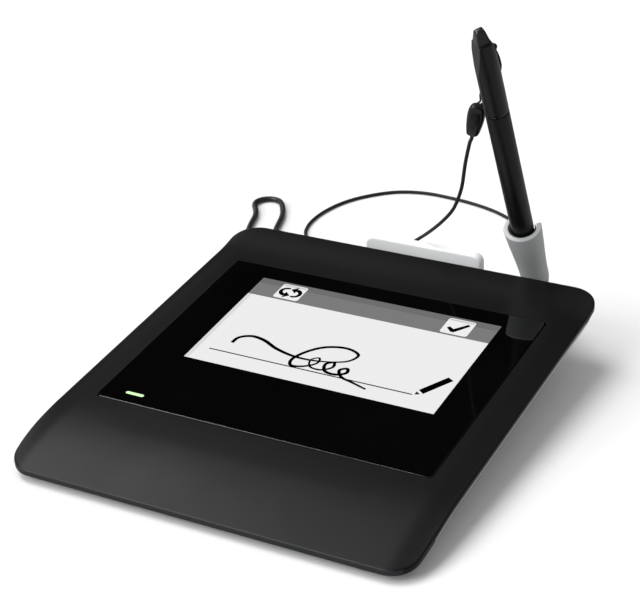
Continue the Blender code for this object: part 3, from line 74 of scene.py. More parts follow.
def onDeck(x, along, height):
    tilt = deckPlace["tilt"]
    y = deckPlace["front"] + along * math.cos(tilt) - height * math.sin(tilt)
    return Vector((x, y, deckPlace["lift"] + along * math.sin(tilt) + height * math.cos(tilt)))


deckMatrix = Matrix.Translation(onDeck(0, 0, 0)) @ Matrix.Rotation(deckPlace["tilt"], 4, "X")
penMatrix = (Matrix.Translation(onDeck(penPlace["x"], penPlace["along"], penPlace["height"]))
             @ Matrix.Rotation(penPlace["lean"], 4, "X"))
baseMatrix = Matrix.Translation((0, deckPlace["front"], 0))


# camera, fitted to the corners of the display and of the glass

def makeCamera():
    view = {"azimuth": 28.709, "elevation": 26.379, "roll": -1.827, "lens": 99.0,
            "place": (288.36, -531.37, 341.99)}
    a, e, r = (math.radians(view[k]) for k in ("azimuth", "elevation", "roll"))
    back = Vector((math.sin(a) * math.cos(e), -math.cos(a) * math.cos(e), math.sin(e)))
    level = Vector((math.cos(a), math.sin(a), 0))
    rise = back.cross(level)
    right = level * math.cos(r) + rise * math.sin(r)
    up = rise * math.cos(r) - level * math.sin(r)
    data = bpy.data.cameras.new("photoCamera")
    data.lens = view["lens"]
    data.sensor_width = 36
    data.clip_start = 0.01
    data.clip_end = 20
    camera = stand("photoCamera", data)
    camera.matrix_world = Matrix.Translation(Vector(view["place"]) * mm) @ Matrix(
        (right, up, back)).transposed().to_4x4()
    bpy.context.scene.camera = camera
    print("camera at", [round(v, 4) for v in camera.matrix_world.translation])


makeCamera()


# node trees: a wire wraps a socket, and an expression on wires adds its maths nodes

class Wire:
    def __init__(self, graph, socket):
        self.graph = graph
        self.socket = socket

    def op(self, kind, other=None, flip=False):
        values = {0: self}
        if other is not None:
            values = {0: other, 1: self} if flip else {0: self, 1: other}
        return self.graph.add("ShaderNodeMath", {"operation": kind}, values)

    def __add__(self, other):
        return self.op("ADD", other)

    def __sub__(self, other):
        return self.op("SUBTRACT", other)

    def __rsub__(self, other):
        return self.op("SUBTRACT", other, True)

    def __mul__(self, other):
        return self.op("MULTIPLY", other)

    __radd__ = __add__
    __rmul__ = __mul__

    def sine(self):
        return self.op("SINE")

    def below(self, other):
        return self.op("LESS_THAN", other)


class Graph:
    def __init__(self, tree):
        self.tree = tree

    def put(self, socket, value):
        if isinstance(value, Wire):
            self.tree.links.new(value.socket, socket)
        elif hasattr(value, "__len__") and len(value) == 3 and len(socket.default_value) == 4:
            socket.default_value = (*value, 1)
        else:
            socket.default_value = value

    def add(self, kind, settings=None, values=None, out=0):
        node = self.tree.nodes.new(kind)
        for key, value in (settings or {}).items():
            if key == "stops":
                ramp = node.color_ramp
                while len(ramp.elements) < len(value):
                    ramp.elements.new(0.5)
                for element, (place, level) in zip(ramp.elements, value):
                    element.position = place
                    element.color = (level, level, level, 1)
            else:
                setattr(node, key, value)
        for key, value in (values or {}).items():
            self.put(node.inputs[key], value)
        return Wire(self, node.outputs[out] if node.outputs else None)

    def place(self, kind="Object"):
        return self.add("ShaderNodeTexCoord", out=kind)

    def axes(self, vector):
        node = self.tree.nodes.new("ShaderNodeSeparateXYZ")
        self.put(node.inputs[0], vector)
        return [Wire(self, s) for s in node.outputs]

    def blend(self, share, first, second):
        return self.add("ShaderNodeMix", {"data_type": "RGBA"}, {0: share, 6: first, 7: second}, 2)

    def steps(self, value, *stops):
        return self.add("ShaderNodeValToRGB", {"stops": stops}, {0: value})


class Paint(Graph):
    def __init__(self, name):
        self.material = bpy.data.materials.new(name)
        self.material.use_nodes = True
        super().__init__(self.material.node_tree)
        self.shader = self.tree.nodes["Principled BSDF"]

    def set(self, **values):
        for key, value in values.items():
            self.put(self.shader.inputs[key.replace("_", " ")], value)

    def noise(self, scale, detail=3, where=None, rough=0.5):
        return self.add("ShaderNodeTexNoise", None, {
            "Vector": where or self.place(), "Scale": scale, "Detail": detail, "Roughness": rough})

    def bump(self, height, strength, distance):
        return self.add("ShaderNodeBump", None, {
            "Height": height, "Strength": strength, "Distance": distance})


def grey(level):
    return (level, level, level)


def mouldedPlastic(name, tone, alter, rough, grain=1500, depth=0.02 * mm, strength=0.35, spread=0.06,
                   sheen=0.5):
    # two near tones in soft patches, under a fine grain
    paint = Paint(name)
    patches = paint.steps(paint.noise(28, 4), (0.3, 0), (0.7, 1))
    fine = paint.noise(grain, 4, rough=0.65)
    paint.set(Base_Color=paint.blend(patches, tone, alter),
              Roughness=rough + (fine - 0.5) * spread * 2 + (patches - 0.5) * spread,
              Normal=paint.bump(fine, strength, depth), Specular_IOR_Level=sheen)
    return paint.material


def softRubber(name, tone, rough=0.8):
    return mouldedPlastic(name, tone, [c * 1.6 + 0.002 for c in tone], rough, 700, 0.04 * mm, 0.5)


def brushedSheet(name, tone, rough=0.32):
    paint = Paint(name)
    along = paint.add("ShaderNodeMapping", None, {"Vector": paint.place(), "Scale": (40, 2500, 2500)})
    lines = paint.noise(1, 3, along)
    paint.set(Base_Color=paint.blend(lines, tone, [c * 0.8 for c in tone]), Metallic=1.0,
              Roughness=rough + (lines - 0.5) * 0.18,
              Normal=paint.bump(lines, 0.2, 0.01 * mm))
    return paint.material


def circuitBoard(name):
    paint = Paint(name)
    x, y = paint.axes(paint.place())[:2]
    tracks = ((x * 2100).sine() * (y * 1700).sine()).below(-0.35)
    cells = paint.add("ShaderNodeTexVoronoi", {"distance": "MANHATTAN"},
                      {"Vector": paint.place(), "Scale": 240})
    pads = cells.below(0.12)
    green = paint.blend(tracks, (0.008, 0.085, 0.032), (0.015, 0.14, 0.05))
    paint.set(Base_Color=paint.blend(pads, green, (0.55, 0.4, 0.16)),
              Metallic=pads * 0.9, Roughness=0.42 - pads * 0.12,
              Normal=paint.bump(tracks, 0.3, 0.02 * mm))
    return paint.material


def glowing(name, tone, strength=1.0):
    # a lit face, which mirrors nothing
    paint = Paint(name)
    soft = paint.noise(60, 2)
    paint.set(Base_Color=grey(0), Roughness=0.4, Specular_IOR_Level=0, Emission_Strength=strength,
              Emission_Color=paint.blend(soft, tone, [min(1, c * 0.985) for c in tone]))
    return paint.material


def gloss(name, tone, rough=0.03):
    paint = Paint(name)
    film = paint.steps(paint.noise(35, 5, rough=0.6), (0.45, 0), (0.75, 1))
    waves = paint.noise(18, 1)
    paint.set(Base_Color=paint.blend(film, tone, [c * 1.3 for c in tone]), Roughness=rough + film * 0.03,
              Normal=paint.bump(waves, 0.02, 0.02 * mm))
    return paint.material


def braided(name, tone, light):
    # a fine two-way weave that follows the cord's own length
    paint = Paint(name)
    u, v = paint.axes(paint.place("UV"))[:2]
    left = ((u * 6 + v * 1400) * fullTurn).sine()
    right = ((u * 6 - v * 1400) * fullTurn).sine()
    weave = (left * right) * 0.5 + 0.5
    paint.set(Base_Color=paint.blend(weave, tone, light), Roughness=0.78 - weave * 0.12,
              Normal=paint.bump(weave, 0.6, 0.06 * mm))
    return paint.material


def cableJacket(name, tone):
    paint = Paint(name)
    fine = paint.noise(1600, 3)
    scuffs = paint.steps(paint.noise(90, 5), (0.5, 0), (0.8, 1))
    paint.set(Base_Color=paint.blend(scuffs, tone, [c * 1.7 for c in tone]),
              Roughness=0.42 + scuffs * 0.18, Normal=paint.bump(fine, 0.25, 0.02 * mm))
    return paint.material


print("materials")
charcoalCase = mouldedPlastic("charcoalCase", (0.0042, 0.0042, 0.0045), (0.0036, 0.0036, 0.0039), 0.34,
                              sheen=0.22)
paleCase = mouldedPlastic("paleCase", (0.5, 0.51, 0.515), (0.47, 0.48, 0.485), 0.5)
# painted light: a lighter copy of the pale grey, for the bracket plate whose front catches the light
plateCasePaintedLight = mouldedPlastic("plateCasePaintedLight", (0.72, 0.73, 0.735), (0.68, 0.69, 0.695), 0.5)
# painted shade: a darker copy of the pale grey, for the pen holder and its post, which stand in shade
holderCasePaintedShade = mouldedPlastic("holderCasePaintedShade", (0.4, 0.41, 0.415), (0.37, 0.38, 0.385), 0.45)
# partly painted reflection: a pale greenish band for the right side's lower rim only, the pale lower shell's
# edge lit by the floor's reflection
rimPaintedReflection = mouldedPlastic("rimPaintedReflection", (0.4, 0.47, 0.45), (0.36, 0.42, 0.4), 0.4)
# painted light: a lighter copy of the charcoal for the shell's front-facing faces, as if lit more than the
# rest
frontRimPaintedLight = mouldedPlastic("frontRimPaintedLight", (0.018, 0.019, 0.021), (0.015, 0.016, 0.018), 0.45, sheen=0.3)
penBlack = mouldedPlastic("penBlack", (0.0032, 0.0032, 0.0034), (0.0026, 0.0026, 0.0028), 0.38, 2600,
                          sheen=0.25)
glossBlack = mouldedPlastic("glossBlack", (0.005, 0.005, 0.0055), (0.004, 0.004, 0.0045), 0.18, 400,
                            0.01 * mm, 0.15, 0.03, 0.4)
chipBlack = mouldedPlastic("chipBlack", grey(0.02), grey(0.026), 0.55)
flexAmber = mouldedPlastic("flexAmber", (0.42, 0.17, 0.03), (0.5, 0.24, 0.05), 0.35, 500)
diffuserWhite = mouldedPlastic("diffuserWhite", (0.82, 0.82, 0.8), (0.78, 0.78, 0.77), 0.6)
ferriteGrey = mouldedPlastic("ferriteGrey", (0.05, 0.046, 0.045), (0.035, 0.033, 0.033), 0.7)
darkRubber = softRubber("darkRubber", grey(0.018))
linerFelt = softRubber("linerFelt", (0.012, 0.012, 0.013), 0.9)
brightSheet = brushedSheet("brightSheet", (0.66, 0.66, 0.64))
screwSteel = brushedSheet("screwSteel", (0.5, 0.5, 0.51), 0.26)
windingCopper = brushedSheet("windingCopper", (0.72, 0.33, 0.17))
boardGreen = circuitBoard("boardGreen")
paneGlass = gloss("paneGlass", (0.0012, 0.0012, 0.0014))
# painted highlight: a pale grey for the glass's front and rear bevels
paneEdgePaintedHighlight = gloss("paneEdgePaintedHighlight", (0.3, 0.3, 0.31), 0.25)
screenWhite = glowing("screenWhite", grey(0.855))
screenGrey = glowing("screenGrey", (0.2, 0.2, 0.203))
screenDusk = glowing("screenDusk", (0.158, 0.158, 0.16))
# painted shade: a greyer glow for the screen's left edge, where the border above the sunken screen shades it
screenEdgePaintedShade = glowing("screenEdgePaintedShade", (0.72, 0.72, 0.73))
screenInk = glowing("screenInk", grey(0), 0)
keyWhite = glowing("keyWhite", grey(0.87))
keyShade = glowing("keyShade", grey(0.6))
lampGreen = glowing("lampGreen", (0.66, 1.0, 0.52), 1.15)
tetherBraid = braided("tetherBraid", grey(0.004), grey(0.016))
cableBlack = cableJacket("cableBlack", grey(0.013))

# the solids that stay as they are, by the finish that they get
kept = {
    diffuserWhite: ("lcd_panel", "backlight_panel"),
    brightSheet: ("lcd_frame", "shield_plate", "processor_can", "pressure_cell", "usb_plug_shell"),
    boardGreen: ("sensor_board", "main_board", "led_board", "pen_board"),
    lampGreen: ("status_led", "light_pipe"), darkRubber: ("coil_tie", "tether_anchor"),
    screwSteel: ("holder_screw", *["board_screw_" + c for c in corners]),
    chipBlack: ("cable_socket",), flexAmber: ("display_flex",), paleCase: ("bottom_shell",),
    ferriteGrey: ("coil_core",), windingCopper: ("coil_winding",), penBlack: ("pen_nib",),
}
for finish, names in kept.items():
    for name in names:
        materials = nodes[name].data.materials
        for place in range(len(materials)):
            materials[place] = finish


# mesh helpers

def shade(made, angle, matrix=None):
    if matrix is not None:
        made.data.transform(matrix)
    made.data.shade_smooth()
    made.data.set_sharp_from_angle(angle=math.radians(angle))


def keep(name, bm, finish, matrix=None, smooth=35, outward=True):
    if outward:
        bmesh.ops.recalc_face_normals(bm, faces=bm.faces)
    if matrix is not None:
        bm.transform(matrix)
    mesh = bpy.data.meshes.new(name)
    bm.to_mesh(mesh)
    bm.free()
    made = stand(name, mesh)
    mesh.materials.append(finish)
    if smooth:
        shade(made, smooth)
    return made


def loft(name, rings, finish, matrix=None, smooth=35):
    bm = bmesh.new()
    rows = [[bm.verts.new(p) for p in ring] for ring in rings]
    for low, high in zip(rows, rows[1:]):
        for i in range(len(low)):
            j = (i + 1) % len(low)
            bm.faces.new((low[i], low[j], high[j], high[i]))
    bm.faces.new(rows[0])
    bm.faces.new(rows[-1])
    return keep(name, bm, finish, matrix, smooth)


def lathe(name, profile, finish, matrix=None, steps=72, hollow=False, smooth=35):
    # profile is (radius, height); a solid starts and ends on the axis, a hollow one closes on itself
    bm = bmesh.new()
    points = [bm.verts.new((r, 0, z)) for r, z in profile]
    edges = [bm.edges.new(pair) for pair in zip(points, points[1:])]
    if hollow:
        edges.append(bm.edges.new((points[-1], points[0])))
    bmesh.ops.spin(bm, geom=points + edges, axis=(0, 0, 1), cent=(0, 0, 0), angle=fullTurn, steps=steps,
                   use_merge=True)
    bmesh.ops.remove_doubles(bm, verts=bm.verts, dist=0.002 * mm)
    return keep(name, bm, finish, matrix, smooth)


def arc(cx, cy, radius, start, sweep, steps):
    return [(cx + radius * math.cos(start + sweep * i / steps),
             cy + radius * math.sin(start + sweep * i / steps)) for i in range(steps + 1)]


def circle(count):
    return [(math.cos(fullTurn * i / count), math.sin(fullTurn * i / count)) for i in range(count)]


def swing(steps):
    # the sine and cosine of each step of a quarter turn
    return [(math.sin(quarter * k / steps), math.cos(quarter * k / steps)) for k in range(steps + 1)]


def roundBox(low, high, radii, steps=12, sides=()):
    # a rounded rectangle, anticlockwise from the left end of its near edge
    (x0, y0), (x1, y1) = low, high
    near, far = radii
    right = [(x1, y0 + near + (y1 - far - y0 - near) * s) for s in sides]
    left = [(x0, point[1]) for point in reversed(right)]
    return (arc(x0 + near, y0 + near, near, math.pi, quarter, steps)
            + arc(x1 - near, y0 + near, near, -quarter, quarter, steps) + right
            + arc(x1 - far, y1 - far, far, 0, quarter, steps)
            + arc(x0 + far, y1 - far, far, quarter, quarter, steps) + left)


def smoothStep(t):
    t = min(max(t, 0), 1)
    return t * t * (3 - 2 * t)


def settle(made):
    # turns live modifiers into a plain mesh
    graph = bpy.context.evaluated_depsgraph_get()
    mesh = bpy.data.meshes.new_from_object(made.evaluated_get(graph))
    made.modifiers.clear()
    made.data = mesh


def carve(made, cutter):
    change = made.modifiers.new("carve", "BOOLEAN")
    change.operation = "DIFFERENCE"
    change.object = cutter
    change.solver = "EXACT"
    settle(made)
    bpy.data.objects.remove(cutter, do_unlink=True)


def soften(made, width, segments, angle):
    change = made.modifiers.new("soften", "BEVEL")
    change.width = width
    change.segments = segments
    change.limit_method = "ANGLE"
    change.angle_limit = math.radians(angle)
    settle(made)
    shade(made, 40)


def distances(points):
    # how far along its path each point is
    reached = [0.0]
    for a, b in zip(points, points[1:]):
        reached.append(reached[-1] + (b - a).length)
    return reached


def smoothPath(route, spacing):
    # a centripetal spline through the route, cut into even steps
    points = [Vector(p) for p in route]
    ends = [points[0] * 2 - points[1], *points, points[-1] * 2 - points[-2]]
    fine = []
    for p0, p1, p2, p3 in zip(ends, ends[1:], ends[2:], ends[3:]):
        t1 = (p1 - p0).length ** 0.5
        t2 = t1 + (p2 - p1).length ** 0.5
        t3 = t2 + (p3 - p2).length ** 0.5
        for k in range(20):
            t = t1 + (t2 - t1) * k / 20
            a1 = p0 * ((t1 - t) / t1) + p1 * (t / t1)
            a2 = p1 * ((t2 - t) / (t2 - t1)) + p2 * ((t - t1) / (t2 - t1))
            a3 = p2 * ((t3 - t) / (t3 - t2)) + p3 * ((t - t2) / (t3 - t2))
            b1 = a1 * ((t2 - t) / t2) + a2 * (t / t2)
            b2 = a2 * ((t3 - t) / (t3 - t1)) + a3 * ((t - t1) / (t3 - t1))
            fine.append(b1 * ((t2 - t) / (t2 - t1)) + b2 * ((t - t1) / (t2 - t1)))
    fine.append(points[-1])
    reached = distances(fine)
    count = max(2, round(reached[-1] / spacing))
    even, k = [], 0
    for i in range(count + 1):
        want = reached[-1] * i / count
        while k < len(fine) - 2 and reached[k + 1] < want:
            k += 1
        even.append(fine[k].lerp(fine[k + 1], (want - reached[k]) / (reached[k + 1] - reached[k])))
    return even


def tubeMesh(name, points, radius, finish, sides=14):
    # a swept tube with a UV map: u runs round it, v along it in metres
    bm = bmesh.new()
    layer = bm.loops.layers.uv.new("UVMap")
    runs = [(b - a).normalized() for a, b in zip(points, points[1:])]
    side = runs[0].orthogonal().normalized()
    rows, along = [], distances(points)
    for i, point in enumerate(points):
        run = (runs[max(i - 1, 0)] + runs[min(i, len(runs) - 1)]).normalized()
        side = (side - run * side.dot(run)).normalized()
        other = run.cross(side)
        rows.append([bm.verts.new(point + (side * c + other * s) * radius) for c, s in circle(sides)])
    for i, (low, high) in enumerate(zip(rows, rows[1:])):
        for k in range(sides):
            j = (k + 1) % sides
            face = bm.faces.new((low[k], low[j], high[j], high[k]))
            for loop, (u, v) in zip(face.loops, ((k, i), (k + 1, i), (k + 1, i + 1), (k, i + 1))):
                loop[layer].uv = (u / sides, along[v])
    bm.faces.new(rows[0])
    bm.faces.new(rows[-1])
    return keep(name, bm, finish, smooth=60)


def declare(piece, body, slotName, *stands):
    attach(piece, body)
    if stands:
        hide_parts(*stands)
    return piece


# cords: the same routes as in the part

tether = {
    **sized(radius=0.75, holderFoot=30.3, anchorReach=10.55, anchorHeight=7.5, spacing=2),
    "bendFrom": (-20, 208, 12),  # the cord's stretch between here and the bead hangs from the stylus
    "beadTop": (39.3, 153.4, 112.4), "beadBottom": (36.8, 155.6, 98.6),
    "route": [
        (35.6, 156.4, 95.4), (33.9, 157.9, 90.2), (31.9, 160.3, 84.2), (29.9, 163.4, 78.0),
        (27.3, 167.7, 70.8), (23.4, 173.0, 62.8), (18.2, 179.0, 54.2), (10.3, 185.6, 44.8),
        (0.6, 192.8, 35.1), (-9.0, 199.6, 26.4), (-18.0, 206.4, 17.2), (-27.0, 213.0, 8.4),
        (-37.0, 219.0, 2.6), (-48.0, 222.8, 1.0), (-61.0, 226.0, 0.9), (-73.5, 229.6, 0.9),
        (-82.5, 235.6, 0.9), (-86.8, 244.6, 0.9), (-88.5, 257.0, 0.9), (-87.3, 269.2, 0.9),
        (-83.6, 281.0, 0.9), (-76.0, 292.7, 0.9), (-66.0, 301.6, 0.9), (-53.0, 305.8, 0.9),
        (-39.0, 305.4, 0.9), (-25.0, 303.0, 0.9), (-11.5, 298.3, 0.9), (0.5, 290.9, 0.9),
        (10.5, 281.0, 0.9), (19.5, 267.0, 0.9), (27.5, 250.0, 0.9), (35.0, 234.5, 1.2),
        (42.0, 221.0, 3.0), (47.0, 212.5, 5.4)],
}
signal = {
    **sized(radius=1.3, spacing=2.5, coilX=-55, coilY=192.5, coilMiddle=16.6, coilPitch=3.05),
    "coilTurns": 11.375, "coilSteps": 48, "coilClimb": 0.5, "coilEntry": math.radians(-135),
    "route": [
        (-36.5, 206.0, 9.6), (-43.5, 215.5, 8.2), (-56.0, 221.8, 5.4), (-70.0, 224.5, 2.8),
        (-83.0, 226.6, 1.5), (-92.5, 229.4, 1.5), (-98.0, 234.2, 1.5), (-100.6, 241.2, 1.5),
        (-103.3, 249.5, 1.5), (-107.3, 257.5, 1.5), (-111.8, 264.2, 1.5), (-115.0, 266.7, 1.5),
        (-119.1, 266.8, 1.5), (-122.5, 264.6, 1.5), (-123.9, 260.7, 1.5), (-122.8, 256.8, 1.5),
        (-118.7, 250.9, 1.5), (-115.5, 244.5, 1.5), (-113.1, 236.7, 1.5), (-109.6, 227.5, 1.5),
        (-104.6, 217.5, 1.5), (-97.2, 206.5, 1.5), (-86.5, 191.5, 1.5)],
    "tail": [(-28.0, 203.5, 4.4), (-22.0, 210.0, 4.2)],
}
# the last four sizes give the case's rear wall, which the gland stands on
gland = {
    **sized(x=-34, height=12.5, length=22, radius=3, root=4, rounded=0.3, ribDeep=0.45, ribLead=0.2,
            neckSpare=0.25, wallFoot=160, wallLow=1.5, lipAlong=181.2, lipHeight=-4),
    "turn": math.radians(-96), "ribs": 6, "ribFull": 0.92,
}
plug = {
    **sized(x=-10, y=212, long=26, wide=15, tall=7.6), "plump": 1.02, "corner": 0.55,
    # each station is a share of the grip's length and of its full width
    "nose": [(0, 0.35), (0.02, 0.42), (0.2, 0.72), (0.34, 0.95), (0.42, 1)],
    "groove": [(0, 1), (0.012, 0.94), (0.036, 0.94), (0.048, 1)], "grooves": 4, "grooveFrom": 0.48,
    "grooveStep": 0.09, "rear": [(0.985, 1), (1, 0.94)],
}


def placed(points, matrix):
    return [matrix @ (Vector(p) * mm) for p in points]


def beadMatrix():
    # the lower end of the tether's bead, turned along it, and its length
    low, high = placed([tether["beadBottom"], tether["beadTop"]], baseMatrix)
    turn = Vector((0, 0, 1)).rotation_difference((high - low).normalized())
    return Matrix.Translation(low) @ turn.to_matrix().to_4x4(), (high - low).length


def anchorMouth():
    foot = penMatrix.translation.y + tether["holderFoot"] * math.sin(penPlace["lean"])
    return Vector((penPlace["x"], foot + tether["anchorReach"] + touch, tether["anchorHeight"]))


def pathLength(points):
    return distances(points)[-1]


def makeTether():
    foot = beadMatrix()[0]
    radius = tether["radius"]
    mouth = anchorMouth() + Vector((0, touch, 0))
    route = [foot @ Vector((0, 0, -touch)), foot @ Vector((0, 0, -touch - 2 * radius)),
             *placed(tether["route"], baseMatrix), mouth + Vector((0, 2 * radius, 0)), mouth]
    points = smoothPath(route, tether["spacing"])[::-1]
    cord = tubeMesh("tetherCord", points, radius, tetherBraid)
    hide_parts("tether_cord")
    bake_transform(cord)
    pathLength(points)
    2 * radius


def coilPath():
    # the turns wind inwards on the floor, climb one layer, and wind out again on top
    turns, pitch = signal["coilTurns"], signal["coilPitch"]
    half, least = turns / 2, signal["coilMiddle"] - pitch * turns / 4
    low = signal["radius"] + touch / 2
    count = round(turns * signal["coilSteps"])
    points = []
    for i in range(count + 1):
        turn = turns * i / count
        radius = least + pitch * abs(turn - half)
        a = signal["coilEntry"] + fullTurn * turn
        z = low + pitch * smoothStep((turn - half) / signal["coilClimb"] + 0.5)
        points.append(baseMatrix @ Vector((signal["coilX"] + radius * math.cos(a),
                                           signal["coilY"] + radius * math.sin(a), z)))
    return points


def rearSlope():
    # how far the case's rear wall leans back for each step up
    lip = onDeck(0, gland["lipAlong"], gland["lipHeight"])
    return (lip.y - deckPlace["front"] - gland["wallFoot"]) / (lip.z - gland["wallLow"])


def makeSignalCable():
    radius, length = signal["radius"], gland["length"]
    root = gland["wallFoot"] + (gland["height"] - gland["wallLow"]) * rearSlope()
    mouth = (baseMatrix @ Matrix.Translation((gland["x"], root, gland["height"]))
             @ Matrix.Rotation(gland["turn"], 4, "X"))
    coil = coilPath()
    entry = coil[0] - coil[1]
    entry = Vector((entry.x, entry.y, 0)).normalized()
    route = [mouth @ Vector((0, 0, length + touch)), mouth @ Vector((0, 0, length + touch + 2 * radius)),
             *placed(signal["route"], baseMatrix), coil[0] + entry * (touch + 3 * radius), coil[0]]
    leave = (coil[-1] - coil[-2]).normalized()
    nose = baseMatrix @ Vector((plug["x"], plug["y"], plug["tall"] / 2 + touch))
    tail = [coil[-1], coil[-1] + leave * (touch + 3 * radius), *placed(signal["tail"], baseMatrix),
            nose - Vector((touch + 2 * radius, 0, 0)), nose - Vector((touch, 0, 0))]
    points = smoothPath(route, signal["spacing"])[:-1] + coil + smoothPath(tail, signal["spacing"])[1:]
    cable = tubeMesh("signalCable", points, radius, cableBlack, 12)
    declare(cable, "pad", "cord_black", "usb_cable", "usb_coil", "usb_cable_tail")
    makeStrainRelief(mouth)
    pathLength(points)
    2 * radius
    makePlugGrip(nose)


def makeStrainRelief(mouth):
    # a ribbed sleeve that tapers to the cable
    length, wide, root = gland["length"], gland["radius"], gland["root"]
    neck, rounded = signal["radius"] + touch, gland["rounded"]
    flange = touch + wide * (rearSlope() - math.tan(gland["turn"] + quarter))
    profile = [(0, touch - root), (neck, touch - root), (neck, flange), (wide - rounded, flange),
               (wide, flange + rounded), (wide, flange + root)]
    start, deep, lead = flange + root, gland["ribDeep"], gland["ribLead"]
    step = (length - start) / gland["ribs"]
    first, last = wide * gland["ribFull"], neck + gland["neckSpare"]
    for i in range(gland["ribs"]):
        low, high = start + step * (i + 0.25), start + step * (i + 0.75)
        reach = first + (last - first) * (i + 0.5) / gland["ribs"]
        profile += [(reach - deep, low - lead), (reach, low), (reach, high), (reach - deep, high + lead)]
    profile += [(neck, length), (0, length)]
    relief = lathe("strainRelief", profile, darkRubber, mouth, 40)
    declare(relief, "pad", "black_rubber", "cable_gland")


def makePlugGrip(nose):
    stations = list(plug["nose"])
    for i in range(plug["grooves"]):
        at = plug["grooveFrom"] + plug["grooveStep"] * i
        stations += [(at + share, full) for share, full in plug["groove"]]
    rings = []
    for share, full in stations + plug["rear"]:
        half, high = plug["wide"] / 2 * full, plug["tall"] / 2 * min(1, full * plug["plump"])
        corner = min(high, half) * plug["corner"]
        ring = roundBox((-half, -high), (half, high), (corner, corner), 6)
        rings.append([nose + Vector((plug["long"] * share, y, z)) for y, z in ring])
    return declare(loft("plugGrip", rings, darkRubber), "pad", "black_rubber", "usb_plug_grip")


print("cords")
makeTether()
makeSignalCable()


# case

case = {
    **sized(width=167, depth=182.3, frontRadius=9, rearRadius=12, sweep=2.2, sweepDepth=24,
            palmFall=5.6, palmDepth=40, flankFall=0.8, flankBand=10, rearRise=1.1, rearBand=22,
            thick=2.4, edge=0.6, lowEdge=0.2, paleRing=0.8, paleRim=0.62, paleFrom=20, cutterTop=5),
    "palmCurve": 2.1, "cornerShrink": 0.6 / (29.5 * mm), "sideFacing": 0.4, "frontFacing": 0.75,
    # the top's rings, in millimetres from its edge, and the points of its sides, as shares of them
    "insets": (0.9, 1.4, 2, 2.8, 3.6, 4.5, 5.5, 6.5, 7.5, 8.7, 10, 12, 14, 16, 18.5, 21, 24, 27, 30),
    "sides": (*[0.0125 * k for k in range(1, 15)], 0.25, 0.4, 0.55, 0.7, 0.8,
              *[0.86 + 0.01 * k for k in range(14)]),
}
glass = {
    **sized(width=140.4, depth=109.7, front=44.8, thick=1.1, radius=1.6, bevel=0.3, edgeIn=0.02,
            edgeLift=0.012),
    "bevelBend": 0.3, "edgeDeep": 0.9, "edgeWide": 1.25,
}
screen = {**sized(left=-52.79, front=80.58, height=0.02), "size": 107.63 / 108}


def caseHeight(x, along):
    height = 0
    if along < case["palmDepth"]:
        height -= case["palmFall"] * (1 - max(along, 0) / case["palmDepth"]) ** case["palmCurve"]
    rear = smoothStep((along - case["depth"] + case["rearBand"]) / case["rearBand"])
    flank = smoothStep((abs(x) - case["width"] / 2 + case["flankBand"]) / case["flankBand"])
    return height - case["flankFall"] * flank * (1 - rear) + case["rearRise"] * rear


def caseRing(inset, drop):
    # the outline of the case, drawn in and lowered
    shrink = 1 - case["cornerShrink"] * inset
    half = case["width"] / 2 - inset
    points = roundBox((-half, inset), (half, case["depth"] - inset),
                      (case["frontRadius"] * shrink, case["rearRadius"] * shrink), 14, case["sides"])
    ring = []
    for x, along in points:
        reach = max(0, 1 - along / case["sweepDepth"]) ** 2
        x -= math.copysign(case["sweep"] * reach, x)
        ring.append((x, along, caseHeight(x, along) - drop))
    return ring


def makeTopShell():
    insets = [inset * mm for inset in case["insets"]]
    edge, low, thick = case["edge"], case["lowEdge"], case["thick"]
    rings = [caseRing(inset, 0) for inset in reversed(insets)]
    rings += [caseRing(edge * (1 - sine), edge * (1 - cosine)) for sine, cosine in swing(5)]
    rings += [caseRing(0, thick - case["paleRing"]), caseRing(0, thick - low), caseRing(low, thick)]
    rings += [caseRing(inset, thick) for inset in insets[::3]]
    shell = loft("topShell", rings, charcoalCase, smooth=0)
    pocket = [glassRing(-touch, height) for height in (-glass["thick"] - touch, case["cutterTop"])]
    carve(shell, loft("pocketCutter", pocket, charcoalCase))
    shade(shell, 35, deckMatrix)
    # painted light on the rim: a pale greenish band painted on the right-facing lower rim only, partly the
    # pale lower shell's edge and partly a painted reflection of the lit floor, and a lighter copy of the
    # charcoal painted on the faces that face the front
    shell.data.materials.append(rimPaintedReflection)
    shell.data.materials.append(frontRimPaintedLight)
    toDeck = deckMatrix.inverted()
    for face in shell.data.polygons:
        along, height = (toDeck @ face.center)[1:]
        between = case["paleFrom"] < along < case["depth"] - case["paleFrom"]
        rim = height < caseHeight(case["width"] / 2, along) - thick + case["paleRim"]
        # painted reflection: the right-facing faces of the lower rim get the pale band
        if face.normal.x > case["sideFacing"] and between and rim:
            face.material_index = 1
        # painted light: the faces that face the front get the lighter copy
        elif face.normal.y < -case["frontFacing"]:
            face.material_index = 2
    declare(shell, "pad", "charcoal", "top_shell")


def glassRing(inset, height):
    # the outline of the glass, drawn in, or let out for the pocket round it
    half, radius = glass["width"] / 2 - inset, glass["radius"] - inset / (2 if inset > 0 else 1)
    points = roundBox((-half, glass["front"] + inset), (half, glass["front"] + glass["depth"] - inset),
                      (radius, radius), 8)
    return [(x, y, height) for x, y in points]


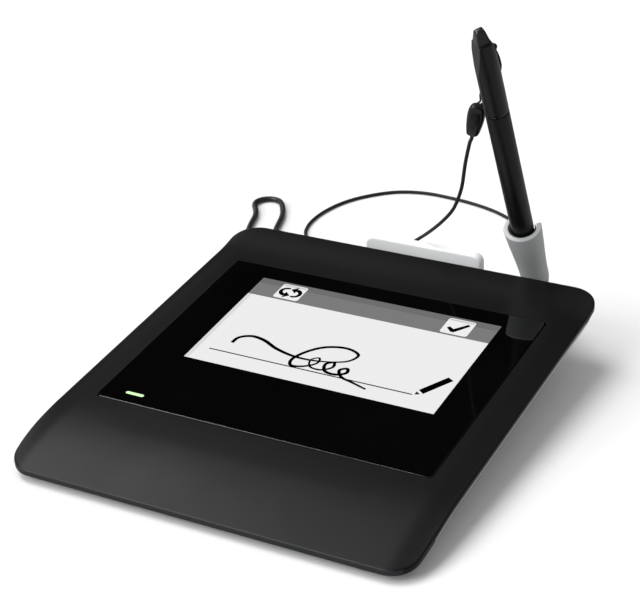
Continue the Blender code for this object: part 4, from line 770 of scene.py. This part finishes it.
def makeGlass():
    bevel = glass["bevel"]
    bend = bevel * glass["bevelBend"]
    steps = ((0, -glass["thick"]), (0, -bevel), (bend, -bend), (bevel, 0))
    pane = loft("glassPane", [glassRing(*step) for step in steps], paneGlass, deckMatrix, 0)
    declare(pane, "pad", "black_glass", "cover_glass")

    # painted highlights: pale strips along the front and rear bevels of the glass, where its edges catch the
    # light
    bm = bmesh.new()
    side = glass["width"] / 2 - 2 * glass["radius"]
    for edge, run in ((glass["front"], 1), (glass["front"] + glass["depth"], -1)):
        strip = [(edge + run * glass["edgeIn"], -bevel * glass["edgeDeep"]),
                 (edge + run * bevel * glass["edgeWide"], glass["edgeLift"])]
        near, far = ([bm.verts.new((x, y, z)) for x in (-side, side)] for y, z in strip[::run])
        bm.faces.new((near[0], near[1], far[1], far[0]))
    declare(keep("glassEdges", bm, paneEdgePaintedHighlight, deckMatrix, 0, outward=False), "pad", "black_glass")


# what the display shows, in millimetres from its near left corner

picture = {
    "width": 108, "depth": 64.8, "headerFrom": 51.5, "duskFrom": 60.9, "bandWide": 1.9, "keyRound": 1.2,
    "leftKey": (10.75, 52.7, 22.3, 63.65), "rightKey": (86.35, 52.55, 98.1, 63.6),
    "shadeIn": 0.6, "shadeLow": 1.6, "shadeHigh": 0.5, "line": (6.5, 8.4, 95.2, 9.05),
    # two bent arrows that swell towards their heads
    "arrowRadius": 2.5, "arrowApart": 1.9, "arrowDrop": 0.2, "arrowTurns": (75, 255), "arrowSweep": 195,
    "arrowWidth": 1.1, "arrowSwell": 0.9, "headLong": 2.7, "headHalf": 2.3,
    "tick": [[(88.1, 56.5), (88.95, 57.65), (90.9, 56.35), (92.0, 54.0), (90.6, 54.0)],
             [(90.6, 54.0), (92.0, 54.0), (96.65, 60.35), (95.5, 61.3), (90.7, 55.9)]],
    # its body and a sharp point on the line, with a white collar left between them
    "pencil": [[(96.3, 12.4), (98.9, 10.5), (106.05, 22.6), (103.3, 24.15)],
               [(96.0, 9.0), (97.95, 9.9), (96.0, 11.2)]],
    # a plain pen flourish: a swash, one wide loop and three small ones, no letters
    "swash": [(12.9, 15.6), (13.6, 19.8), (18.0, 22.6), (24.0, 21.8), (32.0, 18.0), (42.0, 15.6),
              (53.0, 16.4), (62.6, 20.4), (64.4, 25.4), (58.6, 28.2), (50.0, 26.2), (44.2, 20.6),
              (41.2, 13.4), (42.6, 9.8), (47.4, 10.6), (51.8, 14.8), (51.0, 18.2), (48.4, 16.2),
              (50.2, 11.6), (55.2, 11.0), (58.8, 14.4), (57.8, 17.4), (55.2, 15.4), (57.2, 10.8),
              (62.2, 10.2), (65.6, 12.8), (64.6, 15.4), (62.2, 13.6), (64.8, 9.6), (70.6, 7.6),
              (77.4, 5.4)],
    "inkWidth": 0.95, "inkPress": 0.75, "inkFade": 0.25, "inkPace": (8.2, 0.9), "inkStep": 0.5,
}


def screenPoint(x, y, lift):
    return Vector((screen["left"] + x * mm * screen["size"], screen["front"] + y * mm * screen["size"],
                   screen["height"] + lift * mm))


def flatShapes(name, shapes, finish, lift):
    bm = bmesh.new()
    for shape in shapes:
        face = bm.faces.new([bm.verts.new(screenPoint(x, y, lift)) for x, y in shape])
        face.normal_update()
        if face.normal.z < 0:
            face.normal_flip()
    bmesh.ops.triangulate(bm, faces=bm.faces)
    declare(keep(name, bm, finish, deckMatrix, 0, outward=False), "pad", "display_panel")


def rectangle(x0, y0, x1, y1):
    return [(x0, y0), (x1, y0), (x1, y1), (x0, y1)]


def ribbon(points, widths):
    # quads along a stroke whose width changes
    left, right = [], []
    for i, (x, y) in enumerate(points):
        ax, ay = points[max(i - 1, 0)]
        bx, by = points[min(i + 1, len(points) - 1)]
        run = math.hypot(bx - ax, by - ay) or 1
        nx, ny = -(by - ay) / run, (bx - ax) / run
        w = widths[i] / 2
        left.append((x + nx * w, y + ny * w))
        right.append((x - nx * w, y - ny * w))
    return [[left[i], right[i], right[i + 1], left[i + 1]] for i in range(len(points) - 1)]


def stroke(points, spacing, pressure):
    path = smoothPath([(x, y, 0) for x, y in points], spacing)
    count = len(path) - 1
    return ribbon([(p.x, p.y) for p in path], [pressure(i / count) for i in range(count + 1)])


def arrowArc(cx, cy, start):
    sweep = math.radians(picture["arrowSweep"])
    points = arc(cx, cy, picture["arrowRadius"], start, sweep, 14)
    shapes = ribbon(points, [picture["arrowWidth"] + picture["arrowSwell"] * i / 14 for i in range(15)])
    x, y = points[-1]
    heading = start + sweep + quarter
    c, s = math.cos(heading), math.sin(heading)
    long, half = picture["headLong"], picture["headHalf"]
    shapes.append([(x - half * s, y + half * c), (x + long * c, y + long * s), (x + half * s, y - half * c)])
    return shapes


def inkWidth(t):
    pace, start = picture["inkPace"]
    press = picture["inkPress"] * abs(math.sin(pace * t + start))
    return picture["inkWidth"] + press - picture["inkFade"] * t


def makePicture():
    width, depth, top, r = (picture[k] for k in ("width", "depth", "headerFrom", "keyRound"))
    keys, shades = [], []
    for x0, y0, x1, y1 in (picture["leftKey"], picture["rightKey"]):
        keys.append(roundBox((x0, y0), (x1, y1), (r, r), 6))
        shades.append(rectangle(x0 + picture["shadeIn"], y1 - picture["shadeLow"],
                                x1 - picture["shadeIn"], y1 - picture["shadeHigh"]))
    x0, y0, x1, y1 = picture["leftKey"]
    cx, cy = (x0 + x1) / 2, (y0 + y1) / 2 - picture["arrowDrop"]
    ink = [rectangle(*picture["line"]), *picture["tick"], *picture["pencil"]]
    for way, turn in zip((-1, 1), picture["arrowTurns"]):
        ink += arrowArc(cx + way * picture["arrowApart"], cy - way * picture["arrowDrop"], math.radians(turn))
    ink += stroke(picture["swash"], picture["inkStep"], inkWidth)
    # the number that ends each call is how high its layer lies
    flatShapes("screenGround", [rectangle(0, 0, width, depth)], screenWhite, 0)
    flatShapes("screenHeader", [rectangle(0, top, width, depth)], screenGrey, 0.01)
    flatShapes("screenHeaderFar", [rectangle(0, picture["duskFrom"], width, depth)], screenDusk, 0.015)
    # painted shade: a greyer strip along the screen's left edge
    flatShapes("screenBand", [rectangle(0, 0, picture["bandWide"], top)], screenEdgePaintedShade, 0.01)
    flatShapes("screenKeys", keys, keyWhite, 0.02)
    flatShapes("screenKeyShades", shades, keyShade, 0.025)
    flatShapes("screenInk", ink, screenInk, 0.035)


# status light: a lit slot in the glass

def makeLight():
    lamp = sized(x=-56.55, along=50.8, long=8, wide=1.55, low=-0.01, high=0.02)
    end, reach = lamp["wide"] / 2, (lamp["long"] - lamp["wide"]) / 2
    points = arc(reach, 0, end, -quarter, math.pi, 10) + arc(-reach, 0, end, quarter, math.pi, 10)
    rings = [[(lamp["x"] + x, lamp["along"] + y, z) for x, y in points] for z in (lamp["low"], lamp["high"])]
    declare(loft("statusLight", rings, lampGreen, deckMatrix, 0), "pad", "light_green")


# rear bracket

bracket = sized(half=26.9, face=188.2, thick=5, top=30.8, bottom=9.5, corner=4, lowCorner=0.2, bevel=1.1,
                stem=16, stemUp=4, stemRound=0.4, overlap=0.5, tongueLeft=-26, tongueRight=61,
                tongueFront=161.5, tongueRear=202, tongueHeight=1.2, tongueThick=2.5, tongueRound=0.5)


def makeBracket():
    b, bevel, into = bracket, bracket["bevel"], bracket["overlap"]
    front, rear = b["face"], b["face"] + b["thick"]

    def face(inset, y):
        points = roundBox((inset - b["half"], b["bottom"] + inset), (b["half"] - inset, b["top"] - inset),
                          (max(bevel - inset, b["lowCorner"]), b["corner"] - inset), 14)
        return [(x, y, z) for x, z in points]

    rings = [face(bevel * (1 - sine), front + bevel * (1 - cosine)) for sine, cosine in swing(6)]
    rings += [face(bevel * (1 - cosine), rear - bevel * (1 - sine)) for sine, cosine in swing(6)]
    # the plate gets the painted-light copy of the pale grey, its stem and tongue the plain one
    plate = loft("rearPlate", rings, plateCasePaintedLight, baseMatrix)
    stem = roundedBlock("stem", (-b["stem"], front + into, b["tongueHeight"] + into),
                        (b["stem"], rear - into, b["bottom"] + b["stemUp"]), b["stemRound"])
    tongue = roundedBlock("tongue", (b["tongueLeft"], b["tongueFront"], b["tongueHeight"]),
                          (b["tongueRight"], b["tongueRear"], b["tongueHeight"] + b["tongueThick"]),
                          b["tongueRound"])
    bpy.ops.object.select_all(action="DESELECT")
    for part in (stem, tongue, plate):
        part.select_set(True)
    bpy.context.view_layer.objects.active = plate
    bpy.ops.object.join()
    declare(plate, "pad", "pale_grey", "rear_bracket")


def roundedBlock(name, low, high, bevel):
    bm = bmesh.new()
    bmesh.ops.create_cube(bm, size=1)
    bmesh.ops.scale(bm, vec=[h - l for l, h in zip(low, high)], verts=bm.verts)
    bmesh.ops.translate(bm, vec=[(h + l) / 2 for l, h in zip(low, high)], verts=bm.verts)
    bmesh.ops.bevel(bm, geom=bm.edges, offset=bevel, segments=3, profile=0.5, affect="EDGES")
    return keep(name, bm, paleCase, baseMatrix, 40)


# pen holder: an open-backed tube with a dark liner

holder = {
    **sized(radius=7.75, wall=2.05, waist=5.9, waistAt=26, length=30, foot=5.8, floor=1.2, shift=1,
            edge=0.5, slotDeep=23, slotAbove=2, slotReach=20, liner=0.45, linerTop=0.6, linerDeep=10.8,
            baseLow=4, soft=0.25),
    "slot": math.radians(116), "straight": 0.55, "footCurve": 1.6, "baseFlare": 1.1,
}


def holderRadius(depth):
    # outer radius at a depth below the rim: an eased taper to the waist, then a flared foot
    share = min(max(depth / holder["waistAt"], 0), 1)
    ease = holder["straight"] * share + (1 - holder["straight"]) * smoothStep(share)
    flare = max(0, (depth - holder["waistAt"]) / (holder["length"] - holder["waistAt"]))
    radius = holder["radius"] + (holder["waist"] - holder["radius"]) * ease
    return radius + (holder["foot"] - holder["waist"]) * flare ** holder["footCurve"]


def wedge(name):
    # what the slot at the back cuts away
    ring = [(0, 0)] + arc(0, 0, holder["slotReach"], quarter - holder["slot"] / 2, holder["slot"], 12)
    ends = (-holder["slotDeep"], holder["slotAbove"])
    return loft(name, [[(x, y, z) for x, y in ring] for z in ends], paleCase)


def shear(made):
    # the tube's lower end stands a little to the right of the pen
    for v in made.data.vertices:
        v.co.x += holder["shift"] * max(0, -v.co.z / holder["length"])


def makeHolder():
    length, wall, edge = holder["length"], holder["wall"], holder["edge"]
    bore, floor = holder["radius"] - wall, length - holder["floor"]
    outer = [(holderRadius(length * k / 24), -length * k / 24) for k in range(24, 0, -1)]
    lip = [(holder["radius"] - edge + edge * cosine, -edge + edge * sine) for sine, cosine in swing(5)]
    mouth = [(bore + edge - edge * sine, -edge + edge * cosine) for sine, cosine in swing(5)]
    inner = [(holderRadius(floor * k / 12) - wall, -floor * k / 12) for k in range(1, 13)]
    profile = [(0, -length)] + outer + lip + mouth + inner + [(0, -floor)]
    tube = lathe("holderTube", profile, holderCasePaintedShade, steps=128, smooth=0)
    carve(tube, wedge("slotCutter"))
    soften(tube, holder["soft"], 2, 50)
    shear(tube)
    tube.data.transform(penMatrix)
    declare(tube, "pad", "pale_grey", "pen_holder")

    low, top, thick = -holder["linerDeep"], -holder["linerTop"], holder["liner"]
    wide = holderRadius(-low) - wall - touch
    inside = [(bore - touch, top), (wide, low), (wide - thick, low), (bore - touch - thick, top)]
    liner = lathe("holderLiner", inside, linerFelt, steps=96, hollow=True, smooth=0)
    carve(liner, wedge("linerCutter"))
    shear(liner)
    shade(liner, 40, penMatrix)
    declare(liner, "pad", "black_rubber", "holder_liner")


def makeHolderBase():
    # a post from the tongue up to the tube
    low = -holder["length"] - touch
    small, wide = holder["foot"], holder["foot"] * holder["baseFlare"]
    middle = penMatrix.translation
    y = middle.y - low * math.sin(penPlace["lean"])
    top = [penMatrix @ Vector((holder["shift"] + small * c, small * s, low)) for c, s in circle(64)]
    bottom = [Vector((middle.x + wide * c, y + wide * s, holder["baseLow"])) for c, s in circle(64)]
    rings = [[b.lerp(t, share) for b, t in zip(bottom, top)]
             for share in (0, 0.02, 0.1, 0.2, 0.35, 0.5, 0.65, 0.8, 0.9, 0.97, 1)]
    declare(loft("holderPost", rings, holderCasePaintedShade), "pad", "pale_grey", "holder_base")


# stylus

pen = {
    **sized(radius=4.65, wall=0.9, coneLow=-25, coneHigh=-12, coneTip=2.1, coneRadius=3.35, nibHole=1.1,
            bore=1.75, boreDeep=4.2, neck=3.9, shoulder=0.5, seam=65.8, seamThick=0.5, chamferIn=0.12,
            chamferUp=0.3, tailTop=106.2, tailStep=101, plane=85.5, eyeAt=98.4),
    "tailTurn": math.radians(49),
}
penTail = penMatrix @ Matrix.Rotation(pen["tailTurn"], 4, "Z")


def penRing(name, profile, finish, slotName, stands, steps=96):
    made = lathe(name, profile, finish, penMatrix, steps, True)
    declare(made, "stylus", slotName, stands)


def makeStylus():
    r, w = pen["radius"], pen["wall"]
    low, high = pen["coneLow"], pen["coneHigh"]
    tip, top, hole, bore = pen["coneTip"], pen["coneRadius"], pen["nibHole"], pen["bore"]
    cone = [(hole, low), (tip, low), (tip + w / 3, low + w)]
    cone += [(tip + w / 3 + (top - tip - w / 3) * k / 8, low + w + (high - touch - low - w) * k / 8)
             for k in range(1, 9)]
    cone += [(top - w, high - touch), (bore, low + 2 * w + pen["boreDeep"]), (bore, low + 2 * w),
             (hole, low + 2 * w)]
    penRing("penCone", cone, penBlack, "pen_black", "pen_tip_cone", 72)
    # the grip swells from the neck to the barrel in one soft curve
    rise = [(pen["neck"] + (r - pen["neck"]) * sine, -r + (r + pen["shoulder"]) * (1 - cosine))
            for sine, cosine in swing(10)]
    seamLow = pen["seam"] - pen["seamThick"] / 2 - touch
    grip = [(top - w, high), (top, high), *rise, (r, seamLow - pen["chamferUp"]),
            (r - pen["chamferIn"], seamLow), (r - w, seamLow), (r - w, pen["shoulder"] + r), (top - w, -w)]
    penRing("penGrip", grip, penBlack, "pen_black", "pen_lower_barrel")
    low, high = seamLow + touch, seamLow + touch + pen["seamThick"]
    seam = [(r - w, low), (r - touch, low), (r - touch, high), (r - w, high)]
    penRing("penSeam", seam, glossBlack, "gloss_black", "pen_seam_ring")


tail = {
    # how deep it is planed on its left, near, right and far side, and the same above its step
    "planed": [v * mm for v in (1.95, 0.3, 1.9, 1.9)], "stepped": [v * mm for v in (2.2, 0.6, 2.15, 2.15)],
    "rightCurve": 1.2, **sized(stepRise=0.25, drill=0.75, drillFrom=-0.7, drillTo=9, corner=0.7),
    # the half widths of the block at its end, on the same sides, at its foot and at its head
    "foot": (2.75, 3.2, 2.5, 2.45), "head": (1.8, 1.6, 1.6, 1.6), "tuck": 0.55, "tuckFrom": 0.9,
}


def tailSection(height, reach, cuts):
    # a round section planed flat on its sides
    r = pen["radius"]
    left, near, right, far = cuts
    return [(max(left - r, min(r - right, reach * c)), max(near - r, min(r - far, reach * s)), height)
            for c, s in circle(96)]


def makeTail():
    # the upper barrel runs on into a planed tail, with a slim block at its end
    r, whole = pen["radius"], (0, 0, 0, 0)
    start, plane = pen["seam"] + pen["seamThick"] / 2 + touch, pen["plane"]
    top, stepAt = pen["tailTop"], pen["tailStep"]
    rings = [tailSection(start, r - pen["chamferIn"], whole), tailSection(start + pen["chamferUp"], r, whole)]
    rings += [tailSection(start + (plane - start) * k / 24, r, whole) for k in range(1, 24)]
    left, near, right, far = tail["planed"]
    for share in [k / 12 for k in range(13)]:
        cuts = (left * share, near * share, right * share ** tail["rightCurve"], far * share)
        rings.append(tailSection(plane + (stepAt - plane) * share, r, cuts))
    rings.append(tailSection(stepAt + tail["stepRise"], r, tail["stepped"]))
    body = loft("penTail", rings, penBlack, smooth=0)
    # the eye goes in at one side and comes out at the back
    wide, low, high = tail["drill"], tail["drillFrom"], tail["drillTo"]
    eye = Matrix.Translation((0, 0, pen["eyeAt"]))
    for axis, side in (("Y", 1), ("X", -1)):
        drill = lathe("eyeCutter", [(0, low), (wide, low), (wide, high), (0, high)], penBlack,
                      eye @ Matrix.Rotation(side * quarter, 4, axis), 24)
        carve(body, drill)
    shade(body, 28, penTail)
    declare(body, "stylus", "pen_black", "pen_upper_barrel", "pen_tail")

    rings = []
    for share in [k / 16 for k in range(17)]:
        inward = max(0, share - tail["tuckFrom"]) / (1 - tail["tuckFrom"])
        tuck = tail["tuck"] * (1 - math.sqrt(max(0, 1 - inward ** 2)))
        left, near, right, far = [(f + (h - f) * share - tuck) * mm
                                  for f, h in zip(tail["foot"], tail["head"])]
        ring = roundBox((-left, -near), (right, far), (tail["corner"], tail["corner"]), 8)
        rings.append([(x, y, stepAt + (top - stepAt) * share) for x, y in ring])
    block = loft("penEnd", rings, glossBlack, smooth=0)
    shade(block, 32, penTail)
    declare(block, "stylus", "gloss_black")


bead = {
    **sized(halfWide=3.5, halfDeep=2.3, lean=0.8), "full": 0.92, "square": 0.75,
    # each station is a share of the bead's height and of its width
    "outline": ((0.0, 0.6), (0.02, 0.68), (0.1, 0.76), (0.22, 0.84), (0.36, 0.92), (0.52, 0.98),
                (0.68, 1.0), (0.82, 0.97), (0.92, 0.89), (0.98, 0.78), (1.0, 0.66)),
}
loopCord = {
    **sized(radius=0.4, knotWide=1.3, knotHigh=1.4, spacing=0.8), "lean": Vector((1.3, 0.3, 1.1)) * mm,
    "up": [(-7.6, 5.9, 65.8), (-4.5, 6.2, 70.0), (0.4, 5.6, 78.0), (3.1, 4.2, 84.5), (4.0, 3.0, 88.5),
           (3.85, 2.7, 92.5)],
    "eye": [(3.85, -0.6, 96.3), (3.85, -0.4, 97.2), (3.5, -0.2, 98.0), (2.6, 0, 98.4), (1.4, 0.1, 98.4),
            (0.4, 0.6, 98.4), (0, 1.7, 98.4), (0, 3.0, 98.2), (-0.1, 3.85, 97.2), (-0.3, 4.3, 95.0),
            (-0.8, 5.0, 89.0)],
    "down": [(-3.9, 5.2, 80.0), (-6.4, 5.8, 72.0), (-8.8, 5.8, 66.8)],
}


def makeBead():
    place, length = beadMatrix()
    rings = []
    for share, width in bead["outline"]:
        wide, deep = bead["halfWide"] * width, bead["halfDeep"] * (0.5 + 0.5 * width)
        ring = [(math.copysign(abs(c) ** bead["square"], c) * wide + bead["lean"] * share,
                 math.copysign(abs(s) ** bead["square"], s) * deep) for c, s in circle(48)]
        rings.append([place @ Vector((x, y, share * length * bead["full"])) for x, y in ring])
    declare(loft("tetherBead", rings, glossBlack, smooth=50), "stylus", "gloss_black", "tether_bead")


def makeLoop():
    # from the bead up behind the pen, through the eye under a knot, and down again
    place, length = beadMatrix()
    radius, lean = loopCord["radius"], loopCord["lean"]
    aside, over = radius + touch, length * bead["full"] + touch + radius
    start, end = (place @ Vector((bead["lean"] + x, 0, over)) for x in (aside, -aside))
    route = [start, start + lean, *placed(loopCord["up"], penMatrix), *placed(loopCord["eye"], penTail),
             *placed(loopCord["down"], penMatrix), end + lean, end]
    points = smoothPath(route, loopCord["spacing"])
    cord = tubeMesh("tetherLoop", points, radius, tetherBraid, 12)
    declare(cord, "stylus", "cord_black", "tether_loop")
    wide, high = loopCord["knotWide"], loopCord["knotHigh"]
    knot = [(wide * math.sin(math.pi * k / 12), -high * math.cos(math.pi * k / 12)) for k in range(13)]
    at = Matrix.Translation(Vector(loopCord["eye"][0]) * mm)
    declare(lathe("loopKnot", knot, tetherBraid, penTail @ at, 24), "stylus", "cord_black")
    pathLength(points)
    2 * radius


# feet and screws under the case, set out by geometry nodes

def scatter(name, places, profile, finish, slotName, stands, steps=40):
    piece = lathe(name + "One", profile, finish, None, steps)
    tree = bpy.data.node_groups.new(name, "GeometryNodeTree")
    for way in ("INPUT", "OUTPUT"):
        tree.interface.new_socket("Geometry", in_out=way, socket_type="NodeSocketGeometry")
    sizeId = tree.interface.new_socket("Size", in_out="INPUT", socket_type="NodeSocketFloat").identifier
    graph = Graph(tree)
    spread = graph.add("GeometryNodeInstanceOnPoints", None, {
        "Points": graph.add("NodeGroupInput", out="Geometry"),
        "Instance": graph.add("GeometryNodeObjectInfo", None, {"Object": piece}, "Geometry"),
        "Scale": graph.add("NodeGroupInput", out="Size")})
    solid = graph.add("GeometryNodeRealizeInstances", None, {"Geometry": spread})
    coat = graph.add("GeometryNodeSetMaterial", None, {"Geometry": solid, "Material": finish})
    graph.add("NodeGroupOutput", None, {"Geometry": coat})
    mesh = bpy.data.meshes.new(name)
    mesh.from_pydata([tuple(p) for p in places], [], [])
    made = stand(name, mesh)
    change = made.modifiers.new("places", "NODES")
    change.node_group = tree
    change[sizeId] = 1.0
    settle(made)
    bpy.data.objects.remove(piece, do_unlink=True)
    shade(made, 35)
    declare(made, "pad", slotName, *stands)


def makeUnderside():
    feet = sized(radius=5, top=2, x=44, front=19, rear=148, hollow=0.12, lip=0.5, rounded=0.15)
    places = [baseMatrix @ Vector((x, y, 0)) for y in (feet["front"], feet["rear"])
              for x in (-feet["x"], feet["x"])]
    r, t, hollow, lip = feet["radius"], feet["top"], feet["hollow"], feet["lip"]
    profile = [(0, hollow), (r * 0.55, hollow), (r * 0.6, 0), (r - lip, 0), (r - feet["rounded"], hollow),
               (r, lip), (r, t), (0, t)]
    scatter("rubberFeet", places, profile, darkRubber, "black_rubber", ["rubber_foot_" + c for c in corners])

    head = sized(radius=2.2, tall=1.3, shank=1.2, socket=0.9, long=6, taper=5, point=0.7)
    high, flat, shank, socket = (head[k] for k in ("radius", "tall", "shank", "socket"))
    screw = [(0, head["long"]), (head["point"], head["long"]), (shank, head["taper"]), (shank, 0), (high, 0),
             (high, -flat * 0.5), (high * 0.9, -flat * 0.85), (high * 0.7, -flat), (socket, -flat),
             (socket * 0.8, -flat * 0.35), (0, -flat * 0.3)]
    names = ["case_screw_" + c for c in corners] + ["bracket_screw_left", "bracket_screw_right"]
    sites = []
    for name in names:
        low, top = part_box(name)
        sites.append(Vector(((low.x + top.x) / 2, (low.y + top.y) / 2, low.z + flat)))
    scatter("undersideScrews", sites, screw, screwSteel, "screw_steel", names, 32)


print("case and glass")
makeTopShell()
makeGlass()
makePicture()
makeLight()
print("bracket and holder")
makeBracket()
makeHolder()
makeHolderBase()
print("stylus and tether")
makeStylus()
makeTail()
makeBead()
makeLoop()
makeUnderside()


# ground, sky and lamps

studio = {
    "keyFrom": (-0.46, 0.06, 1.0), "keyStrength": 2.1, "keySpread": 34,
    "fillFrom": (-0.6, -0.8, 0.7), "fillStrength": 2.2, "fillSpread": 40, "dome": 0.6,
    "skyStops": ((0.0, 0.2), (0.12, 0.1), (0.24, 0.0), (0.68, 0.0), (0.78, 0.65), (1.0, 0.65)),
    "skySides": ((0.0, 1.0), (0.18, 1.0), (0.3, 0.2), (0.36, 0.04), (1.0, 0.08)), "skyMirrored": 11,
    "floorTone": 0.68, "floorEcho": 0.35,
}


def makeFloor():
    bm = bmesh.new()
    bmesh.ops.create_grid(bm, x_segments=1, y_segments=1, size=3)
    paint = Paint("paleGround")
    tone = studio["floorTone"]
    pale = paint.blend(paint.noise(400, 2), grey(tone), (tone * 0.98, tone * 0.98, tone * 0.985))
    seen = paint.add("ShaderNodeLightPath", out="Is Camera Ray")
    paint.set(Base_Color=paint.blend(seen, grey(studio["floorEcho"]), pale), Roughness=0.9,
              Specular_IOR_Level=0)
    keep("floor", bm, paint.material, None, 0, outward=False)


def makeSky():
    # an even dome gives the light, and reflections see a soft box overhead with dark below it
    world = bpy.data.worlds.new("studioSky")
    bpy.context.scene.world = world
    world.use_nodes = True
    world.node_tree.nodes.clear()
    sky = Graph(world.node_tree)

    def glow(color, strength):
        return sky.add("ShaderNodeBackground", None, {"Color": color, "Strength": strength})

    def choose(ray, otherwise, shown):
        share = sky.add("ShaderNodeLightPath", out=ray)
        return sky.add("ShaderNodeMixShader", None, {0: share, 1: otherwise, 2: shown})

    x, z = sky.axes(sky.place("Generated"))[::2]
    sides = sky.steps(x * 0.5 + 0.5, *studio["skySides"])
    box = glow(sky.steps(z, *studio["skyStops"]), sides * studio["skyMirrored"])
    room = choose("Is Glossy Ray", glow(grey(1), studio["dome"]), box)
    sky.add("ShaderNodeOutputWorld", None, {0: choose("Is Camera Ray", room, glow(grey(1), 1))})


def makeSun(name, source, strength, spread, mirrored=True):
    data = bpy.data.lights.new(name, "SUN")
    data.energy = strength
    data.angle = math.radians(spread)
    lamp = stand(name, data)
    lamp.location = source
    lamp.visible_glossy = mirrored
    lamp.rotation_euler = (-Vector(source)).to_track_quat("-Z", "Y").to_euler()


makeFloor()
makeSky()
makeSun("keyLight", studio["keyFrom"], studio["keyStrength"], studio["keySpread"], False)
makeSun("fillLight", studio["fillFrom"], studio["fillStrength"], studio["fillSpread"])
bpy.context.scene.view_settings.view_transform = "Standard"

bpy.context.view_layer.update()
print("done")
